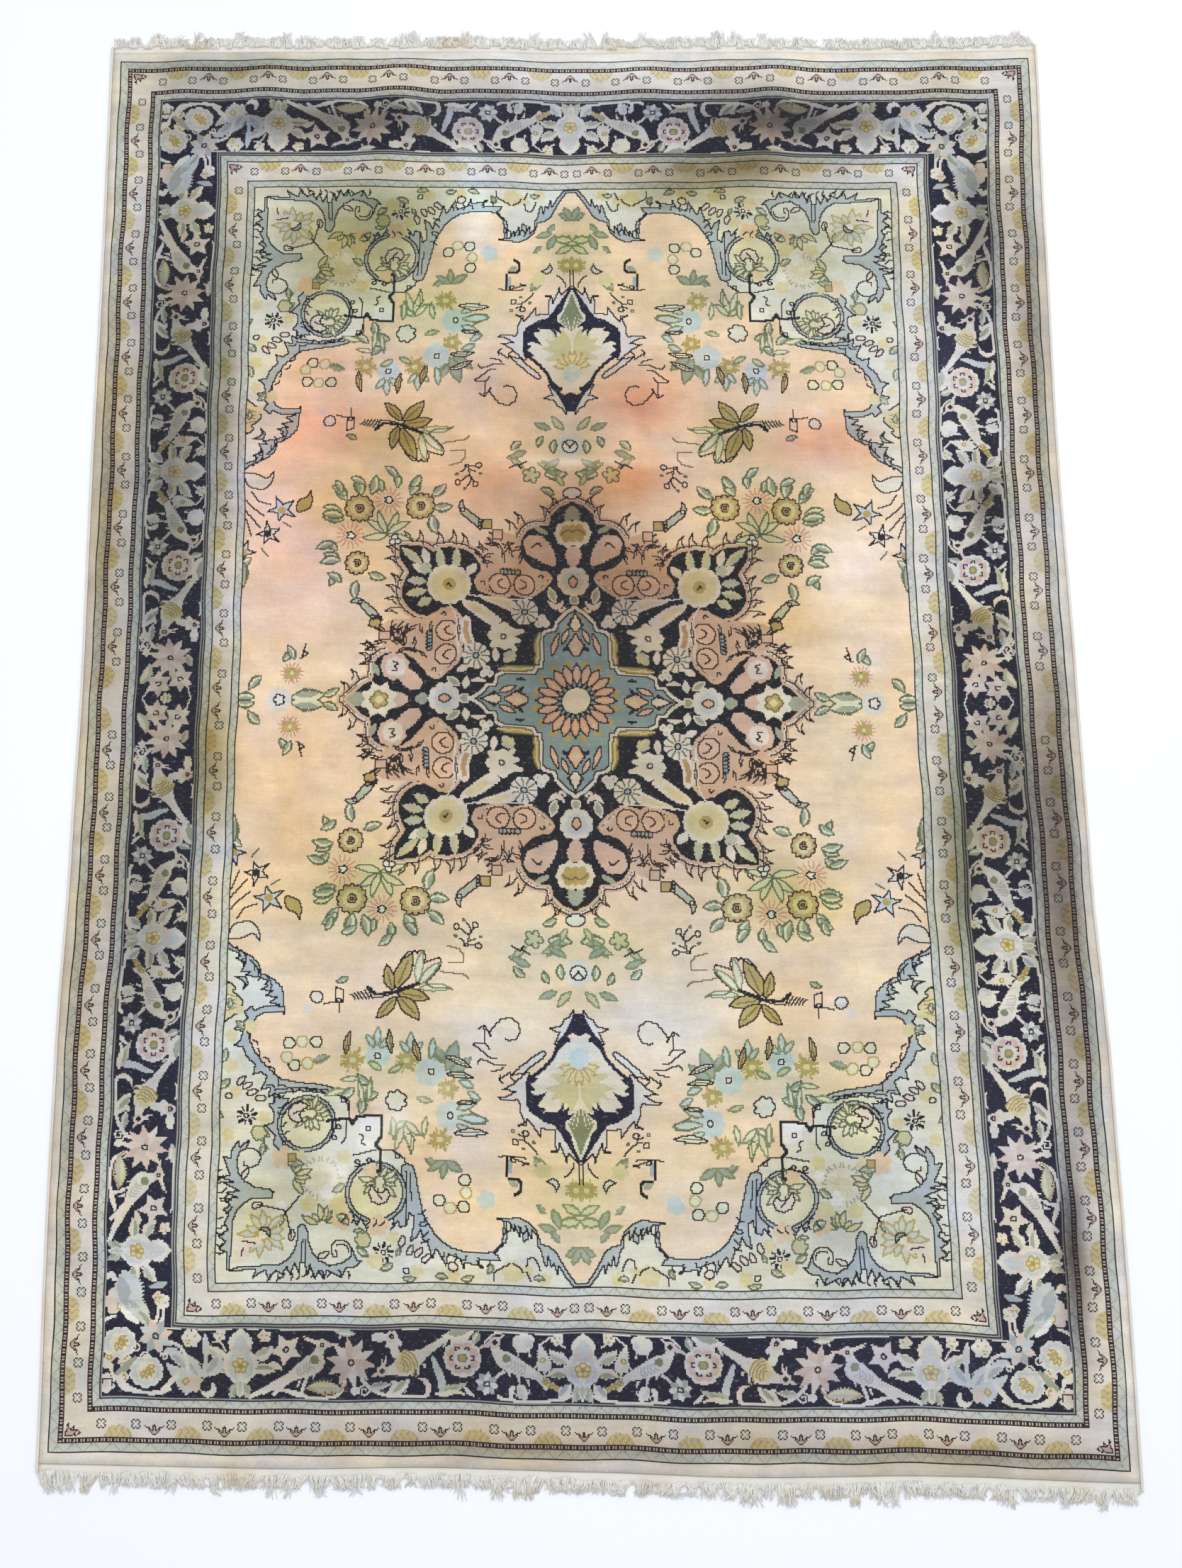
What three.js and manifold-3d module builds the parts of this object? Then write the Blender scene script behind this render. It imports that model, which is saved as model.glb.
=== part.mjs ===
// A hand-knotted silk rug lying on a floor, in millimetres.
// X runs across the rug, +Y towards its far end and +Z up; the floor is z = 0.
// The rug is one pile slab with an overcast cord down each side and a flat-woven end,
// with its warp fringe, across each end.

import * as THREE from 'three';
import { mergeVertices } from 'three/addons/utils/BufferGeometryUtils.js';
import Module from 'manifold-3d';

const wasm = await Module();
wasm.setup();

// Pile slab
const PILE_HALF_WIDTH = 589;
const PILE_HALF_LENGTH = 882;
const PILE_THICKNESS = 4;
const COLUMN_STEP = 19;
const SIDE_STEP = 60;

// The pile is quite flat between these two lines and rippled beyond them
const FLAT_FROM = -640;
const FLAT_TO = 580;
const RIPPLED_STEP = 38;

// Flat-woven ends and their fringe
const SEAM_GAP = 0.32;
const KILIM_HALF_LENGTH = 894;
const KILIM_THICKNESS = 1.8;
const LOCKS_PER_END = 96;
const LOCK_ROOT_DEPTH = 2.5;
const LOCK_WIDTH = 10;
const LOCK_TIP_WIDTH = 4.4;
const LOCK_THICKNESS = 1.6;
const LOCK_TIP_THICKNESS = 0.9;
const LOCK_LENGTH = 11.5;
const LOCK_LENGTH_SPREAD = 2.5;
const LOCK_LEAN = 2.4;

// Overcast side cords
const CORD_WIDTH = 3.6;
const CORD_HEIGHT = 3.6;
const CORD_SIDES = 7;
const CORD_STEP = 45;
const CORD_HALF_LENGTH = KILIM_HALF_LENGTH - 2.5;

// How far each side and each end strays from a true rectangle.
// along: place on that edge, out: outward in x for a side and towards +Y for an end
const LEFT_SIDE = [
  { along: -880, out: 3 }, { along: -600, out: 6 }, { along: -420, out: 5.5 },
  { along: -180, out: 0.5 }, { along: 20, out: -2.5 }, { along: 300, out: -1 },
  { along: 560, out: -1.5 }, { along: 880, out: 0 },
];
const RIGHT_SIDE = [
  { along: -880, out: 3 }, { along: -700, out: 3.5 }, { along: -450, out: 1.5 },
  { along: -200, out: -5.5 }, { along: 20, out: -7 }, { along: 330, out: -10 },
  { along: 620, out: -6.5 }, { along: 880, out: -2 },
];
const FAR_END = [
  { along: -590, out: 2.5 }, { along: -420, out: 3 }, { along: -120, out: 2 },
  { along: 0, out: -1.5 }, { along: 220, out: -0.5 }, { along: 370, out: -4 },
  { along: 590, out: 0 },
];
const NEAR_END = [
  { along: -590, out: 1 }, { along: -330, out: 0 }, { along: -160, out: 4 },
  { along: 0, out: 2 }, { along: 170, out: -1 }, { along: 370, out: 4 },
  { along: 590, out: 0 },
];

// The rug isn't quite square either: its near end runs aslant and its sides draw together.
// The rows turn a point (x, y) into its place, and the last one is what that is divided by.
const OUT_OF_SQUARE = {
  x: { perX: 0.99685, perY: -0.004376, add: 0 },
  y: { perX: -0.007282, perY: 1.00114, add: 0 },
  over: { perX: -0.00001586, perY: 0.000004166, add: 1 },
};

// Soft ripples that run in from an end and die away towards the middle.
// end: +1 far or -1 near, at: crest at that end, drift: its slant, half: half width,
// height: lift of the crest, tail: distance from the middle where it has died away
const RIPPLES = [
  { end: 1, at: -500, drift: 0.05, half: 42, height: 2.5, tail: 720 },
  { end: 1, at: -385, drift: 0.04, half: 52, height: 5, tail: 690 },
  { end: 1, at: -215, drift: -0.05, half: 62, height: 8, tail: 620 },
  { end: 1, at: -60, drift: 0.03, half: 46, height: 3, tail: 700 },
  { end: 1, at: 105, drift: 0.02, half: 58, height: 4, tail: 660 },
  { end: 1, at: 262, drift: -0.08, half: 48, height: 5.5, tail: 640 },
  { end: 1, at: 468, drift: 0.05, half: 56, height: 3.5, tail: 690 },
  { end: -1, at: -262, drift: 0.12, half: 40, height: 4, tail: 700 },
  { end: -1, at: -70, drift: -0.05, half: 60, height: 2.5, tail: 740 },
  { end: -1, at: 228, drift: 0.1, half: 40, height: 5.5, tail: 680 },
  { end: -1, at: 420, drift: -0.03, half: 55, height: 2.5, tail: 740 },
];
const RIPPLE_FOOT = 893;
const RIPPLE_RISEN = 845;
const RIPPLE_FULL = 800;

// A few fringe locks are longer than the rest. lean: how far the tip strays along X
const LONG_LOCKS = [
  { end: 1, at: -578, length: 19, lean: -9 },
  { end: 1, at: 238, length: 20, lean: -4 },
  { end: 1, at: 548, length: 24, lean: 9 },
  { end: -1, at: -536, length: 19, lean: -5 },
  { end: -1, at: -467, length: 20, lean: 3 },
  { end: -1, at: -378, length: 19, lean: -3 },
  { end: -1, at: -248, length: 21, lean: -4 },
  { end: -1, at: -216, length: 20, lean: 2 },
  { end: -1, at: -62, length: 20, lean: -3 },
  { end: -1, at: 322, length: 19, lean: 4 },
];

const eased = (t) => {
  const clamped = Math.min(1, Math.max(0, t));
  return clamped * clamped * (3 - 2 * clamped);
};

// Value of a table at a place, easing from each row to the next
function strayAt(rows, along) {
  if (along <= rows[0].along) return rows[0].out;
  for (let i = 1; i < rows.length; i += 1) {
    if (along <= rows[i].along) {
      const from = rows[i - 1];
      const share = eased((along - from.along) / (rows[i].along - from.along));
      return from.out + (rows[i].out - from.out) * share;
    }
  }
  return rows[rows.length - 1].out;
}

// Where a point (u, v) of the true rectangle lies on the floor
function layOut(u, v) {
  const across = 0.5 + 0.5 * u / PILE_HALF_WIDTH;
  const length = 0.5 + 0.5 * v / PILE_HALF_LENGTH;
  const strayX = u - strayAt(LEFT_SIDE, v) * (1 - across) + strayAt(RIGHT_SIDE, v) * across;
  const strayY = v + strayAt(NEAR_END, u) * (1 - length) + strayAt(FAR_END, u) * length;
  const row = ({ perX, perY, add }) => perX * strayX + perY * strayY + add;
  const over = row(OUT_OF_SQUARE.over);
  return { x: row(OUT_OF_SQUARE.x) / over, y: row(OUT_OF_SQUARE.y) / over };
}

// Lift of the rug's underside above the floor
function liftAt(u, v) {
  let lift = 0;
  for (const ripple of RIPPLES) {
    const reach = v * ripple.end;
    const crest = ripple.at + ripple.drift * (PILE_HALF_LENGTH - reach);
    const aside = Math.abs(u - crest) / ripple.half;
    if (aside >= 1 || reach <= ripple.tail) continue;
    const rise = eased((RIPPLE_FOOT - reach) / (RIPPLE_FOOT - RIPPLE_RISEN));
    const fade = eased((reach - ripple.tail) / (RIPPLE_FULL - ripple.tail));
    lift += ripple.height * rise * fade * Math.cos(aside * Math.PI / 2) ** 2;
  }
  return lift;
}

// Points from one place to another, no more than a step apart
function spaced(from, to, step) {
  const count = Math.ceil(Math.abs(to - from) / step);
  return Array.from({ length: count + 1 }, (_, i) => from + (to - from) * i / count);
}

function geometryFrom(points, faces) {
  const geometry = new THREE.BufferGeometry();
  geometry.setAttribute('position', new THREE.Float32BufferAttribute(points, 3));
  geometry.setIndex(faces);
  return geometry;
}

// A closed sheet over a grid of (u, v) places, of one thickness and lifted by the ripples.
// Cells for which isPlain(row) holds are left out: their border is filled by one flat face.
function sheetGeometry(columns, rows, thickness, isPlain = () => false) {
  const points = [];
  const faces = [];
  const index = new Map();
  const vertex = (i, j, top) => {
    const key = `${i},${j},${top}`;
    if (!index.has(key)) {
      const { x, y } = layOut(columns[i], rows[j]);
      index.set(key, points.length / 3);
      points.push(x, y, liftAt(columns[i], rows[j]) + (top ? thickness : 0));
    }
    return index.get(key);
  };
  const quad = (a, b, c, d) => faces.push(a, b, c, a, c, d);
  const lastColumn = columns.length - 1;
  const lastRow = rows.length - 1;
  for (let j = 0; j < lastRow; j += 1) {
    if (isPlain(j)) continue;
    for (let i = 0; i < lastColumn; i += 1) {
      quad(vertex(i, j, true), vertex(i + 1, j, true), vertex(i + 1, j + 1, true), vertex(i, j + 1, true));
      quad(vertex(i, j, false), vertex(i, j + 1, false), vertex(i + 1, j + 1, false), vertex(i + 1, j, false));
    }
  }
  for (let j = 0; j < lastRow; j += 1) {
    quad(vertex(0, j, false), vertex(0, j, true), vertex(0, j + 1, true), vertex(0, j + 1, false));
    quad(vertex(lastColumn, j, true), vertex(lastColumn, j, false),
      vertex(lastColumn, j + 1, false), vertex(lastColumn, j + 1, true));
  }
  for (let i = 0; i < lastColumn; i += 1) {
    quad(vertex(i, 0, false), vertex(i + 1, 0, false), vertex(i + 1, 0, true), vertex(i, 0, true));
    quad(vertex(i, lastRow, true), vertex(i + 1, lastRow, true),
      vertex(i + 1, lastRow, false), vertex(i, lastRow, false));
  }
  const plain = rows.map((_, j) => j).filter((j) => j < lastRow && isPlain(j));
  if (plain.length) {
    const low = plain[0];
    const high = plain[plain.length - 1] + 1;
    const border = [];
    for (let i = 0; i <= lastColumn; i += 1) border.push([i, low]);
    for (let j = low + 1; j <= high; j += 1) border.push([lastColumn, j]);
    for (let i = lastColumn - 1; i >= 0; i -= 1) border.push([i, high]);
    for (let j = high - 1; j > low; j -= 1) border.push([0, j]);
    const outline = border.map(([i, j]) => {
      const { x, y } = layOut(columns[i], rows[j]);
      return new THREE.Vector2(x, y);
    });
    for (const [a, b, c] of THREE.ShapeUtils.triangulateShape(outline, [])) {
      const corner = (k, top) => vertex(border[k][0], border[k][1], top);
      faces.push(corner(a, true), corner(b, true), corner(c, true));
      faces.push(corner(a, false), corner(c, false), corner(b, false));
    }
  }
  return geometryFrom(points, faces);
}

function pileSlab() {
  const columns = spaced(-PILE_HALF_WIDTH, PILE_HALF_WIDTH, COLUMN_STEP);
  const near = spaced(-PILE_HALF_LENGTH, FLAT_FROM, RIPPLED_STEP);
  const middle = spaced(FLAT_FROM, FLAT_TO, SIDE_STEP);
  const far = spaced(FLAT_TO, PILE_HALF_LENGTH, RIPPLED_STEP);
  const rows = [...near, ...middle.slice(1), ...far.slice(1)];
  const isPlain = (j) => rows[j] >= FLAT_FROM && rows[j + 1] <= FLAT_TO;
  return sheetGeometry(columns, rows, PILE_THICKNESS, isPlain);
}

function asSolid(geometry) {
  const bare = geometry.clone();
  bare.deleteAttribute('normal');
  bare.deleteAttribute('uv');
  const merged = mergeVertices(bare, 1e-4);
  return new wasm.Manifold(new wasm.Mesh({
    numProp: 3,
    vertProperties: new Float32Array(merged.attributes.position.array),
    triVerts: new Uint32Array(merged.index.array),
  }));
}

function asGeometry(solid) {
  const mesh = solid.getMesh();
  return geometryFrom(Array.from(mesh.vertProperties), Array.from(mesh.triVerts));
}

// One fringe lock: a flat four-sided taper from its root in the end band to its tip on the floor
function lockGeometry(end, at, length, lean) {
  const base = layOut(at, end * KILIM_HALF_LENGTH);
  const stations = [
    { out: -LOCK_ROOT_DEPTH, aside: 0, width: LOCK_WIDTH, height: LOCK_THICKNESS },
    { out: length * 0.55, aside: lean * 0.4, width: LOCK_WIDTH * 0.86, height: LOCK_THICKNESS },
    { out: length, aside: lean, width: LOCK_TIP_WIDTH, height: LOCK_TIP_THICKNESS },
  ];
  const points = [];
  for (const { out, aside, width, height } of stations) {
    const y = base.y + end * out;
    for (const [side, z] of [[-0.5, 0], [0.5, 0], [0.38, height], [-0.38, height]]) {
      points.push(base.x + aside + end * side * width, y, z);
    }
  }
  const faces = [0, 1, 2, 0, 2, 3];
  const last = 4 * (stations.length - 1);
  for (let ring = 0; ring < last; ring += 4) {
    for (let k = 0; k < 4; k += 1) {
      const a = ring + k;
      const b = ring + (k + 1) % 4;
      faces.push(a, b + 4, b, a, a + 4, b + 4);
    }
  }
  faces.push(last, last + 2, last + 1, last, last + 3, last + 2);
  return geometryFrom(points, faces);
}

// Repeatable scatter between -1 and 1, the same for the same lock
const scatter = (index, salt) => Math.sin(index * 12.9898 + salt * 78.233) * Math.cos(index * 4.1 + salt);

function fringedEnd(end) {
  const columns = spaced(-PILE_HALF_WIDTH, PILE_HALF_WIDTH, COLUMN_STEP);
  const inner = PILE_HALF_LENGTH + SEAM_GAP;
  const rows = end > 0 ? [inner, KILIM_HALF_LENGTH] : [-KILIM_HALF_LENGTH, -inner];
  let solid = asSolid(sheetGeometry(columns, rows, KILIM_THICKNESS));
  const pitch = 2 * (PILE_HALF_WIDTH - LOCK_WIDTH / 2) / (LOCKS_PER_END - 1);
  for (let i = 0; i < LOCKS_PER_END; i += 1) {
    const at = -PILE_HALF_WIDTH + LOCK_WIDTH / 2 + pitch * i;
    const long = LONG_LOCKS.find((row) => row.end === end && Math.abs(row.at - at) < pitch / 2);
    const length = long ? long.length : LOCK_LENGTH + LOCK_LENGTH_SPREAD * scatter(i, end);
    const lean = long ? long.lean : LOCK_LEAN * Math.sin(i * 0.7 + end);
    solid = solid.add(asSolid(lockGeometry(end, at, length, lean)));
  }
  return asGeometry(solid);
}

// An overcast cord down one side, flat on the floor and rounded on top
function sideCord(side) {
  const stations = spaced(-CORD_HALF_LENGTH, CORD_HALF_LENGTH, CORD_STEP);
  const inner = PILE_HALF_WIDTH + SEAM_GAP;
  const points = [];
  for (const v of stations) {
    const edge = layOut(side * inner, v);
    const lift = liftAt(side * PILE_HALF_WIDTH, v);
    for (let k = 0; k < CORD_SIDES; k += 1) {
      const turn = Math.PI * k / (CORD_SIDES - 1);
      const across = CORD_WIDTH * (0.5 - 0.5 * Math.cos(turn));
      points.push(edge.x + side * across, edge.y, lift + CORD_HEIGHT * Math.sin(turn) ** 0.7);
    }
  }
  const faces = [];
  const ring = CORD_SIDES;
  for (let s = 0; s < stations.length - 1; s += 1) {
    for (let k = 0; k < ring; k += 1) {
      const a = s * ring + k;
      const b = s * ring + (k + 1) % ring;
      const quad = [a, b, b + ring, a, b + ring, a + ring];
      faces.push(...quad);
    }
  }
  const last = (stations.length - 1) * ring;
  for (let k = 1; k < ring - 1; k += 1) {
    faces.push(0, k + 1, k, last, last + k, last + k + 1);
  }
  if (side < 0) {
    for (let f = 0; f < faces.length; f += 3) [faces[f + 1], faces[f + 2]] = [faces[f + 2], faces[f + 1]];
  }
  return geometryFrom(points, faces);
}

const silk = (color) => new THREE.MeshStandardMaterial({ color, roughness: 0.6, metalness: 0 });
const cotton = (color) => new THREE.MeshStandardMaterial({ color, roughness: 0.9, metalness: 0 });

const rug = new THREE.Group();

function addPiece(name, geometry, material) {
  geometry.computeVertexNormals();
  const piece = new THREE.Mesh(geometry, material);
  piece.name = name;
  rug.add(piece);
}

addPiece('pile_slab', pileSlab(), silk(0xd8c3a2));
addPiece('kilim_end_far', fringedEnd(1), cotton(0xe3dfd6));
addPiece('kilim_end_near', fringedEnd(-1), cotton(0xe0dcd2));
addPiece('side_cord_left', sideCord(-1), cotton(0xddd2c4));
addPiece('side_cord_right', sideCord(1), cotton(0xddd2c4));

// The origin is on the floor under the middle of the rug
const outline = new THREE.Box3().setFromObject(rug);
rug.position.set(-(outline.min.x + outline.max.x) / 2, -(outline.min.y + outline.max.y) / 2, 0);

export default rug;
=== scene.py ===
"""A hand-knotted silk rug with a navy animal border, lying on a pale floor.

The pattern is knotted on a chart of one quarter of the rug, which is then mirrored. Chart places
are millimetres from the middle, u across and v along the rug. Most motifs are functions set down
at chosen places. The long outlines were read off the photograph, point after point, and
are still to be redrawn from named sizes: MEDALLION_EDGE, CROSS_EDGE, ACANTHUS, SPANDREL_EDGE,
CRESCENT, SPANDREL_CURLS, FIELD_LINES and the shorter ones inside the knot functions.
"""
import math

import bpy
import numpy as np
from mathutils import Matrix, Vector


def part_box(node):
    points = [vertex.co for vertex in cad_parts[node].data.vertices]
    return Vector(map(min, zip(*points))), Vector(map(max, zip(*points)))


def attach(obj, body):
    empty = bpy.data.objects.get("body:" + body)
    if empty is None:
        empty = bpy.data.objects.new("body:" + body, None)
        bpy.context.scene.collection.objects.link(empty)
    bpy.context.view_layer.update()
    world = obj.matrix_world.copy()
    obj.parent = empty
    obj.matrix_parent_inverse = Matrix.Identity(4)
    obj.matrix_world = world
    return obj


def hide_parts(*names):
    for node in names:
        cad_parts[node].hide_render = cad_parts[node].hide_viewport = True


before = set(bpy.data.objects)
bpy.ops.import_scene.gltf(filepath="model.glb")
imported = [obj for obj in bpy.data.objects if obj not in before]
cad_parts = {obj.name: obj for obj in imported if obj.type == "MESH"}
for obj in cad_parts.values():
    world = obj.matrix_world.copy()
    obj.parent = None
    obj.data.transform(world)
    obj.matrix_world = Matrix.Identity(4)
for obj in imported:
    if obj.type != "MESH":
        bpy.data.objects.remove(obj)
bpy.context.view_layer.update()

MM = 0.001
SEED = 20

# How the rug lies, as in the CAD source, in millimetres
PILE_HALF_WIDTH = 589
PILE_HALF_LENGTH = 882
PILE_HEIGHT = 4.0
SEAM_GAP = 0.32
KILIM_HALF_LENGTH = 894
LEFT_SIDE = [(-880, 3), (-600, 6), (-420, 5.5), (-180, 0.5), (20, -2.5), (300, -1), (560, -1.5), (880, 0)]
RIGHT_SIDE = [(-880, 3), (-700, 3.5), (-450, 1.5), (-200, -5.5), (20, -7), (330, -10), (620, -6.5),
              (880, -2)]
FAR_END = [(-590, 2.5), (-420, 3), (-120, 2), (0, -1.5), (220, -0.5), (370, -4), (590, 0)]
NEAR_END = [(-590, 1), (-330, 0), (-160, 4), (0, 2), (170, -1), (370, 4), (590, 0)]
OUT_OF_SQUARE = {"x": (0.99685, -0.004376, 0), "y": (-0.007282, 1.00114, 0),
                 "over": (-0.00001586, 0.000004166, 1)}
RIPPLES = [
    {"end": 1, "at": -500, "drift": 0.05, "half": 42, "height": 2.5, "tail": 720},
    {"end": 1, "at": -385, "drift": 0.04, "half": 52, "height": 5, "tail": 690},
    {"end": 1, "at": -215, "drift": -0.05, "half": 62, "height": 8, "tail": 620},
    {"end": 1, "at": -60, "drift": 0.03, "half": 46, "height": 3, "tail": 700},
    {"end": 1, "at": 105, "drift": 0.02, "half": 58, "height": 4, "tail": 660},
    {"end": 1, "at": 262, "drift": -0.08, "half": 48, "height": 5.5, "tail": 640},
    {"end": 1, "at": 468, "drift": 0.05, "half": 56, "height": 3.5, "tail": 690},
    {"end": -1, "at": -262, "drift": 0.12, "half": 40, "height": 4, "tail": 700},
    {"end": -1, "at": -70, "drift": -0.05, "half": 60, "height": 2.5, "tail": 740},
    {"end": -1, "at": 228, "drift": 0.1, "half": 40, "height": 5.5, "tail": 680},
    {"end": -1, "at": 420, "drift": -0.03, "half": 55, "height": 2.5, "tail": 740},
]
RIPPLE_FOOT = 893
RIPPLE_RISEN = 845
RIPPLE_FULL = 800


def eased(t):
    """0 to 1 with a soft start and stop."""
    t = np.clip(t, 0, 1)
    return t * t * (3 - 2 * t)


def stray_at(rows, along):
    """Value of a table at each place, easing from each row to the next."""
    places = np.array([row[0] for row in rows], float)
    values = np.array([row[1] for row in rows], float)
    after = np.clip(np.searchsorted(places, along), 1, len(rows) - 1)
    share = eased((along - places[after - 1]) / (places[after] - places[after - 1]))
    return values[after - 1] + (values[after] - values[after - 1]) * share


def laid_flat(u, v):
    """Where points of the true rectangle lie on the floor, before centring."""
    across = 0.5 + 0.5 * u / PILE_HALF_WIDTH
    length = 0.5 + 0.5 * v / PILE_HALF_LENGTH
    x = u - stray_at(LEFT_SIDE, v) * (1 - across) + stray_at(RIGHT_SIDE, v) * across
    y = v + stray_at(NEAR_END, u) * (1 - length) + stray_at(FAR_END, u) * length
    rows = {key: px * x + py * y + add for key, (px, py, add) in OUT_OF_SQUARE.items()}
    return rows["x"] / rows["over"], rows["y"] / rows["over"]


def lift_at(u, v):
    """Lift of the rug's underside above the floor."""
    lift = np.zeros(np.broadcast(u, v).shape)
    for ripple in RIPPLES:
        along = v * ripple["end"]
        crest = ripple["at"] + ripple["drift"] * (PILE_HALF_LENGTH - along)
        aside = np.abs(u - crest) / ripple["half"]
        rise = eased((RIPPLE_FOOT - along) / (RIPPLE_FOOT - RIPPLE_RISEN))
        fade = eased((along - ripple["tail"]) / (RIPPLE_FULL - ripple["tail"]))
        here = (aside < 1) & (along > ripple["tail"])
        lift += here * ripple["height"] * rise * fade * np.cos(np.minimum(aside, 1) * math.pi / 2) ** 2
    return lift


def centring():
    """The CAD centres the rug's box on the origin; this is how far it moves the rug, in mm."""
    u = np.linspace(-PILE_HALF_WIDTH, PILE_HALF_WIDTH, 63)
    v = np.linspace(-PILE_HALF_LENGTH, PILE_HALF_LENGTH, 200)
    x, y = laid_flat(*np.meshgrid(u, v))
    low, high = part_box("pile_slab")
    across = ((low[0] + high[0]) / MM - x.min() - x.max()) / 2
    along = ((low[1] + high[1]) / MM - y.min() - y.max()) / 2
    return across, along


CENTRING = centring()


def place_on_floor(u, v, height):
    """Positions in metres of rug places, at a height in mm above the rug's underside."""
    x, y = laid_flat(u, v)
    z = lift_at(u, v) + height
    return np.stack([x + CENTRING[0], y + CENTRING[1], z], -1) * MM


# Camera at the photograph's viewing angle, fitted to the rug's outer line in it
CAMERA_FOCAL_PIXELS = 4200
PHOTO_LONG_SIDE = 2212
CAMERA_AXES = ((0.99993, -0.005933, 0.010212), (0.002279, 0.945362, 0.326014),
               (-0.011588, -0.325968, 0.945310))
CAMERA_OFFSET = (-9.517, -91.978, 3492.638)
FITTED_SHIFT = (6.299, -3.422, 0)


def add_camera():
    """Looks at the rug as the photograph does."""
    axes = Matrix(CAMERA_AXES)
    right_up_back = Vector((CAMERA_OFFSET[0], -CAMERA_OFFSET[1], -CAMERA_OFFSET[2]))
    where = -(axes.transposed() @ right_up_back) + Vector(FITTED_SHIFT) + Vector((*CENTRING, 0))
    data = bpy.data.cameras.new("camera")
    data.sensor_width = 36
    data.lens = CAMERA_FOCAL_PIXELS / PHOTO_LONG_SIDE * data.sensor_width
    camera = bpy.data.objects.new("camera", data)
    camera.matrix_world = Matrix.Translation(where * MM) @ axes.transposed().to_4x4()
    bpy.context.scene.collection.objects.link(camera)
    bpy.context.scene.camera = camera


add_camera()


# Yarns as they look where nothing has washed or soiled them
YARN_HEX = {
    "ground": "#e3c8a8", "margin": "#ddd7cb", "line": "#161618", "lattice": "#bec0b6",
    "lattice_mark": "#9fa195", "ladder": "#2a1916", "rung_gap": "#bfb2a9", "shell": "#d3ccc0",
    "clover": "#c8c8bd", "crown": "#bda294", "gold": "#ab9657", "gold_dark": "#9c8a50",
    "gold_light": "#cec294", "pale": "#8f8e8c", "navy": "#121229", "cream": "#d3cec3",
    "cream_shade": "#b1aca5", "cream_rose": "#d5c9bc", "rose": "#cbbcb0", "rose_deep": "#c9b1a5",
    "moss": "#979b86", "moss_light": "#b0b19b", "sky": "#829696", "steel": "#a0a6a6",
    "steel_light": "#bcc1c0", "ink": "#101017", "brown": "#261712", "peach": "#cfa386",
    "dusty": "#c9aa95", "ecru": "#d4ccb7", "arch": "#c5b88c", "arch_dark": "#b0a06e", "tan": "#b99e6c",
    "ochre": "#b08c5e", "night": "#0f0f18", "cloud": "#c9a78a", "peach_light": "#d8b193",
    "rose_line": "#c78f7f", "green_line": "#5c6548", "leaf_fill": "#c0b98c", "olive_dark": "#6e6238",
    "spandrel": "#d2d0be", "leaf_pale": "#d5cfae", "peach_pale": "#d9bd98", "mist": "#a7afad",
    "cloud_pale": "#d0c8be", "sky_pale": "#bcc4bb", "sage": "#787e5b", "white": "#dedbd2",
}
YARN = {name: index for index, name in enumerate(YARN_HEX)}


# Knots of one quarter of the chart, counted from the middle outwards
KNOT_U = 1.458
KNOT_V = 1.5
COLUMNS = 404
ROWS = 588


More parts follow.
